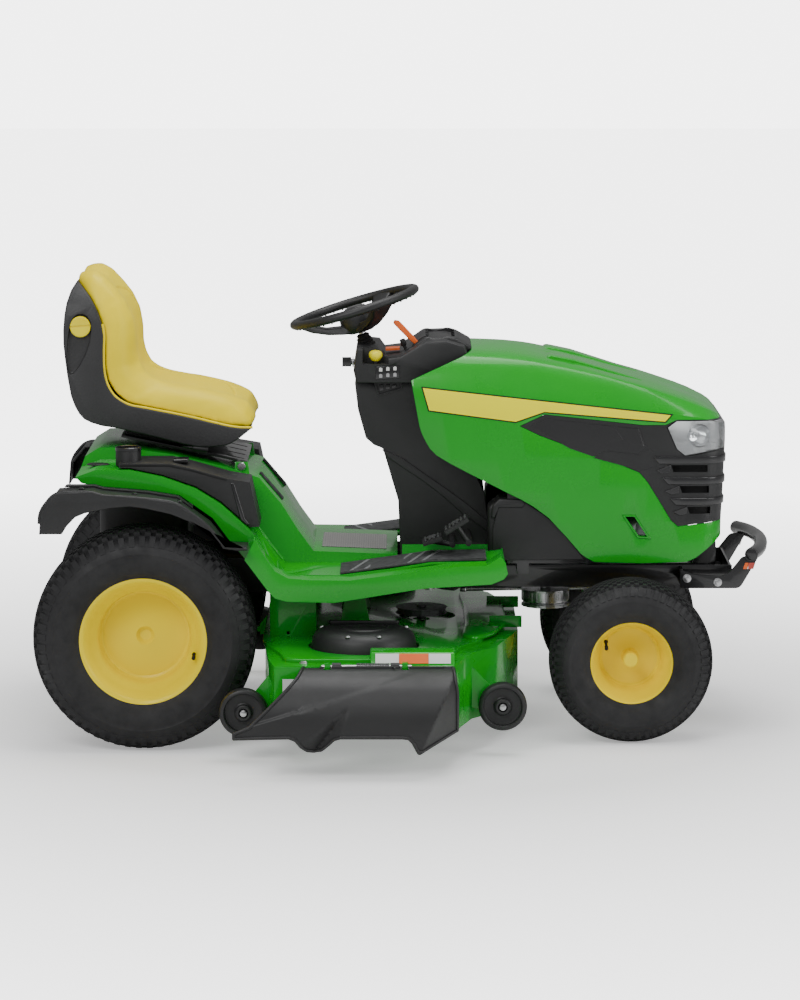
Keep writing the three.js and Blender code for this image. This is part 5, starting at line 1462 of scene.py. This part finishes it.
plateau = slab('deck_plateau', corners_eased(inset_plan(DECK_PLAN, 52), 40, 6), DECK_TOP - 3, DECK_TOP + 9,
               'plan')
for y in (-440, 440):
    cut(plateau, spun('tool', [(0, 200), (137, 200), (137, 300), (0, 300)], (545, y, 0), 'Z', 48, closed=False))
cut(plateau, spun('tool', [(0, 200), (72, 200), (72, 300), (0, 300)], (705, 0, 0), 'Z', 40, closed=False))
rounded(plateau, 6, 3, 40)
fitted(plateau, 'deck', GREEN, 36)
front_step = slab('deck_front_step', corners_eased([(820, -380), (870, -300), (905, -160), (905, 160),
                                                    (870, 300), (820, 380),
                                                    (790, 330), (800, 150), (800, -150), (790, -330)], 30, 5),
                  DECK_TOP + 5, DECK_TOP + 19, 'plan')
rounded(front_step, 6, 3, 40)
fitted(front_step, 'deck', GREEN, 36)
shoulder = slab('deck_shoulder', [(-662, 248), (-640, 277), (-590, 280), (-578, 248)], 562, 768, 'front')
rounded(shoulder, 4, 3, 30)
fitted(shoulder, 'deck', GREEN, 36)
for index, (low, high, finish) in enumerate(((575, 632, PALE_LABEL), (632.5, 704, ORANGE),
                                             (704.5, 758, PALE_LABEL))):
    plate = slab(f'deck_side_label_{index}', [(-659.6, 252.6), (-643.4, 274.0), (-644.0, 274.6),
                                              (-660.2, 253.2)],
                 low, high, 'front')
    fitted(plate, 'deck', finish, 30)
for x, y in ((400, -640), (700, -640), (400, 640), (700, 640), (860, -200), (860, 200), (300, -200),
             (300, 200)):
    bolt = hexbolt(f'deck_bolt_{x}_{y}', (x, y, DECK_TOP), (0, 0, 1), 8, 6)
    fitted(bolt, 'deck', STEEL, 30)
for sign, side_name in ((-1, 'right'), (1, 'left')):
    tab = slab(f'deck_front_tab_{side_name}', [(862, sign * 150), (945, sign * 150), (945, sign * 154),
                                               (862, sign * 154)],
               DECK_TOP + 4, DECK_TOP + 34, 'plan')
    rounded(tab, 1.2, 2, 40)
    fitted(tab, 'deck', GREEN, 30)

for sign, side_name in ((-1, 'right'), (1, 'left')):
    cover = spun(f'belt_cover_{side_name}_moulded',
                 [(0, 306), (58, 306), (62, 303), (92, 303), (101, 301.5), (113, 297), (122, 290), (127.5, 280),
                  (130.5, 262),
                  (131, 256), (134, 254.5), (134, 251.2), (127, 251.2), (124, 284), (112, 293), (98, 297),
                  (0, 300)],
                 (545, sign * 440, 0), 'Z', 72, closed=False)
    for i in range(5):
        cut(cover, brick('tool', (482 + i * 26, 494 + i * 26), (sign * 440 - 5 - 24, sign * 440 + 20),
                         (304.6, 330), 0, 0))
    fitted(cover, 'deck', PLASTIC, 30, (f'belt_cover_{side_name}',))
    rail = slab(f'belt_cover_rail_{side_name}', [(462, sign * 386), (628, sign * 386), (634, sign * 379),
                                                 (456, sign * 379)],
                301, 311, 'plan')
    rounded(rail, 2, 2, 30)
    fitted(rail, 'deck', PLASTIC, 30)
    for degrees in (20, 160, 250, 290):
        angle = math.radians(degrees)
        screw = hexbolt(f'cover_screw_{side_name}_{degrees}',
                        (545 + 112 * math.cos(angle), sign * 440 + 112 * math.sin(angle), 297), (0, 0, 1), 5, 4)
        fitted(screw, 'deck', STEEL, 30)

for name, x, y, out in (('rear_right', 252, -600, -1), ('rear_left', 252, 600, 1),
                        ('front_right', 888, -520, -1), ('front_left', 888, 520, 1)):
    at = y
    profile = [(9.2, -17), (20, -20), (52, -18), (57, -15), (59.4, -10), (59.8, -5), (59.8, 8), (59.4, 12),
               (57, 17), (53, 19.4),
               (49, 19.8), (46.5, 17), (45.5, 8), (40, 6), (24, 5), (21, 7), (20, 16), (17, 18.5), (12, 18.5),
               (11, 12), (9.2, 11)]
    tread = spun(f'gauge_tread_{name}', [(r, at + out * h) for r, h in profile], (x, 0, 121), 'Y', 64)
    fitted(recalculated(tread), f'gauge_{name}', PLASTIC, 30, (f'gauge_wheel_{name}',))
    stud = spun(f'gauge_stud_{name}', [(0, at + out * 2), (8.5, at + out * 2), (8.5, at + out * 11),
                                       (9.5, at + out * 14),
                                       (8, at + out * 19), (4, at + out * 20.5), (0, at + out * 21)],
                                       (x, 0, 121), 'Y', 32,
                closed=False)
    fitted(recalculated(stud), 'deck', STEEL, 30)

# ---- Front bumper, frame and driveline ---------------------------------------------------------

BOW = [(1521, -236, 454.6), (1534, -200, 456), (1546, -158, 457), (1558, -80, 458.6), (1563, 0, 459),
       (1558, 80, 458.6),
       (1546, 158, 457), (1534, 200, 456), (1521, 236, 454.6)]
CHEEK = [(1344, 362), (1344, 411), (1380, 398), (1451, 393), (1469, 402), (1502, 444), (1545, 446), (1500, 368),
         (1491, 362)]
bow = tube('bumper_bow', BOW, 17)
fitted(bow, 'chassis', FRAME_BLACK, 50, ('front_bumper',))
for sign, side_name in ((-1, 'right'), (1, 'left')):
    cheek = slab(f'bumper_cheek_{side_name}', corners_eased(CHEEK, 9), sign * 193, sign * 201)
    rounded(cheek, 1.6, 2, 50)
    fitted(cheek, 'chassis', FRAME_BLACK, 30)
    for index, (low, high, finish) in enumerate(((1504, 1513, ORANGE), (1514, 1530, PALE_LABEL))):
        sticker = slab(f'bumper_sticker_{index}_{side_name}', [(low, 412), (high, 412), (high + 5, 428),
                                                               (low + 5, 428)],
                       sign * 200.6, sign * 201.6)
        fitted(sticker, 'chassis', finish, 30)
    for index, (x, z) in enumerate(((1362, 388), (1440, 378))):
        fitted(hexbolt(f'bumper_bolt_{index}_{side_name}', (x, sign * 201, z), (0, sign, 0), 8, 6), 'chassis',
               STEEL, 30)
    end_cap = spun(f'bow_cap_{side_name}', [(0, 0), (11, 0), (15, -1.5), (17, -5), (17, -9), (0, -9)],
                   (0, 0, 0), 'Z', 32, closed=False)
    way = (spot(*BOW[0]) - spot(*BOW[1])) if sign < 0 else (spot(*BOW[-1]) - spot(*BOW[-2]))
    place = spot(*(BOW[0] if sign < 0 else BOW[-1]))
    end_cap.data.transform(Matrix.Translation(place + way.normalized() * 0.002) @ way.to_track_quat('Z', 'Y').to_matrix().to_4x4()
                           @ Matrix.Translation(-spot(0, 0, 0)))
    fitted(end_cap, 'chassis', PANEL_BLACK, 30)
cross = brick('bumper_crossplate', (1344.6, 1352), (-192, 192), (370, 412), 2, 2)
fitted(cross, 'chassis', FRAME_BLACK, 30)
grey_step = slab('bumper_step', corners_eased([(1362, 366), (1362, 392), (1480, 376), (1500, 368), (1492, 356),
                                               (1380, 352)], 6),
                 -150, 150)
kept_inside(grey_step, brick('trim', (1353, 1498), (-192, 192), (362.2, 400), 0, 0))
rounded(grey_step, 2, 2, 40)
fitted(grey_step, 'chassis', PLASTIC, 30)

for name, width, finish, slot, body in (
        ('main_frame', 2.0, FRAME_BLACK, 'black_paint', 'chassis'),
        ('front_axle', 4.0, FRAME_BLACK, 'black_paint', 'axle'),
        ('transaxle', 6.0, ALUMINIUM, 'cast_aluminium', 'chassis'),
        ('engine', 5.0, ALUMINIUM, 'cast_aluminium', 'chassis'),
        ('engine_cover', 5.0, PLASTIC, 'black_plastic', 'chassis'),
        ('knuckle_right', 2.0, IRON, 'cast_iron', 'knuckle_right'),
        ('knuckle_left', 2.0, IRON, 'cast_iron', 'knuckle_left'),
        ('tie_rod', 1.2, STEEL, 'bare_steel', 'tie_rod'), ('drag_link', 1.2, STEEL, 'bare_steel', 'drag_link'),
        ('lift_shaft', 1.0, STEEL, 'bare_steel', 'lift')):
    shaped = softened(name, f'{name}_formed', width, 2, 2, 35)
    fitted(shaped, body, finish, 36, (name,))

clutch = spun('clutch_housing', [(14, 286.5), (60, 286.5), (61.5, 289), (61.5, 292), (54, 296), (61, 300),
                                 (61.8, 304), (61.8, 326),
                                 (59, 329.6), (14, 330)], (1010, 0, 0), 'Z', 64)
fitted(clutch, 'crank', STEEL, 30)
for index in range(10):
    angle = 2 * math.pi * index / 10
    fin = brick(f'clutch_rib_{index}', (1010 - 2, 1010 + 2), (58.5, 63.2), (303, 326), 0.8, 1)
    fin.data.transform(Matrix.Translation(spot(1010, 0,
                                               0)) @ Matrix.Rotation(angle, 4, 'Z') @ Matrix.Translation(-spot(1010, 0, 0)))
    fitted(fin, 'crank', STEEL, 30)

CARRIED_FINISH = {
    'engine_pulley': STEEL, 'transaxle_pulley': STEEL, 'drive_belt': RUBBER, 'pinion_shaft': STEEL,
    'sector_gear': IRON,
    'steering_shaft': STEEL, 'blade_spindle_right': IRON, 'blade_spindle_middle': IRON,
    'blade_spindle_left': IRON,
}
claimed_nodes = set(CLAIMED)
for node_name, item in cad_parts.items():
    if node_name in claimed_nodes or item.type != 'MESH':
        continue
    item.data.materials.clear()
    item.data.materials.append(CARRIED_FINISH.get(node_name, FRAME_BLACK))

# ---- Stage, light and camera -------------------------------------------------------------------

bpy.ops.object.select_all(action='DESELECT')
bpy.ops.mesh.primitive_plane_add(size=60, location=(0, 0, -0.0015))
floor = fresh('studio_floor')
paper, paper_surface = shader('studio_paper', 0.75, specular=0.2)
floor_where = place_on(paper)
wire(paper, ramp(paper, noise(paper, floor_where, 0.6, 2), (0.3, (0.86, 0.86, 0.86)),
                 (0.7, (0.88, 0.88, 0.88))),
     paper_surface.inputs["Base Color"])
# painted light on the floor: a camera-only glow that lightens the floor near the machine, its shadows included, and
# grows to white with distance
reach = node(paper, 'ShaderNodeVectorMath')
reach.operation = 'LENGTH'
wire(paper, floor_where, reach.inputs[0])
painted_floor_glow = node(paper, 'ShaderNodeMapRange', From_Min=0.9, From_Max=4.5, To_Min=0.4, To_Max=4.2)
wire(paper, reach.outputs["Value"], painted_floor_glow.inputs["Value"])
seen = node(paper, 'ShaderNodeLightPath')
painted_glow_camera_only = node(paper, 'ShaderNodeMath')
painted_glow_camera_only.operation = 'MULTIPLY'
wire(paper, painted_floor_glow.outputs["Result"], painted_glow_camera_only.inputs[0])
wire(paper, seen.outputs["Is Camera Ray"], painted_glow_camera_only.inputs[1])
paper_surface.inputs["Emission Color"].default_value = (1, 1, 1, 1)
wire(paper, painted_glow_camera_only.outputs["Value"], paper_surface.inputs["Emission Strength"])
floor.data.materials.append(paper)

world = bpy.data.worlds.new('studio')
bpy.context.scene.world = world
world.use_nodes = True
backdrop = world.node_tree.nodes["Background"]
backdrop.inputs["Color"].default_value = (1, 1, 1, 1)
looked_at = world.node_tree.nodes.new('ShaderNodeLightPath')
sky_level = world.node_tree.nodes.new('ShaderNodeMapRange')
sky_level.inputs["To Min"].default_value = 0.34
sky_level.inputs["To Max"].default_value = 5.0
world.node_tree.links.new(looked_at.outputs["Is Camera Ray"], sky_level.inputs["Value"])
world.node_tree.links.new(sky_level.outputs["Result"], backdrop.inputs["Strength"])


def softbox(name, place, aim, size, power):
    light = bpy.data.lights.new(name, 'AREA')
    light.shape = 'RECTANGLE'
    light.size, light.size_y = size
    light.energy = power
    lamp = bpy.data.objects.new(name, light)
    bpy.context.scene.collection.objects.link(lamp)
    lamp.location = place
    lamp.rotation_euler = (Vector(aim) - Vector(place)).to_track_quat('-Z', 'Y').to_euler()


softbox('key_box', (-2.2, -4.2, 4.2), (0, 0, 0.5), (3.0, 2.2), 150)
softbox('top_box', (0.3, 0.2, 4.6), (0, 0, 0.4), (3.6, 2.6), 135)
softbox('front_box', (3.8, -2.0, 2.0), (0.2, 0, 0.5), (2.0, 2.2), 60)

lens_data = bpy.data.cameras.new('view')
lens_data.lens, lens_data.sensor_width, lens_data.sensor_fit = 146.3, 36, 'AUTO'
lens_data.clip_end = 200
camera = bpy.data.objects.new('view', lens_data)
bpy.context.scene.collection.objects.link(camera)
camera.location = (-0.018, -10.298, 2.04)
camera.rotation_euler = (math.radians(90 - 8.123), 0, 0)
bpy.context.scene.camera = camera
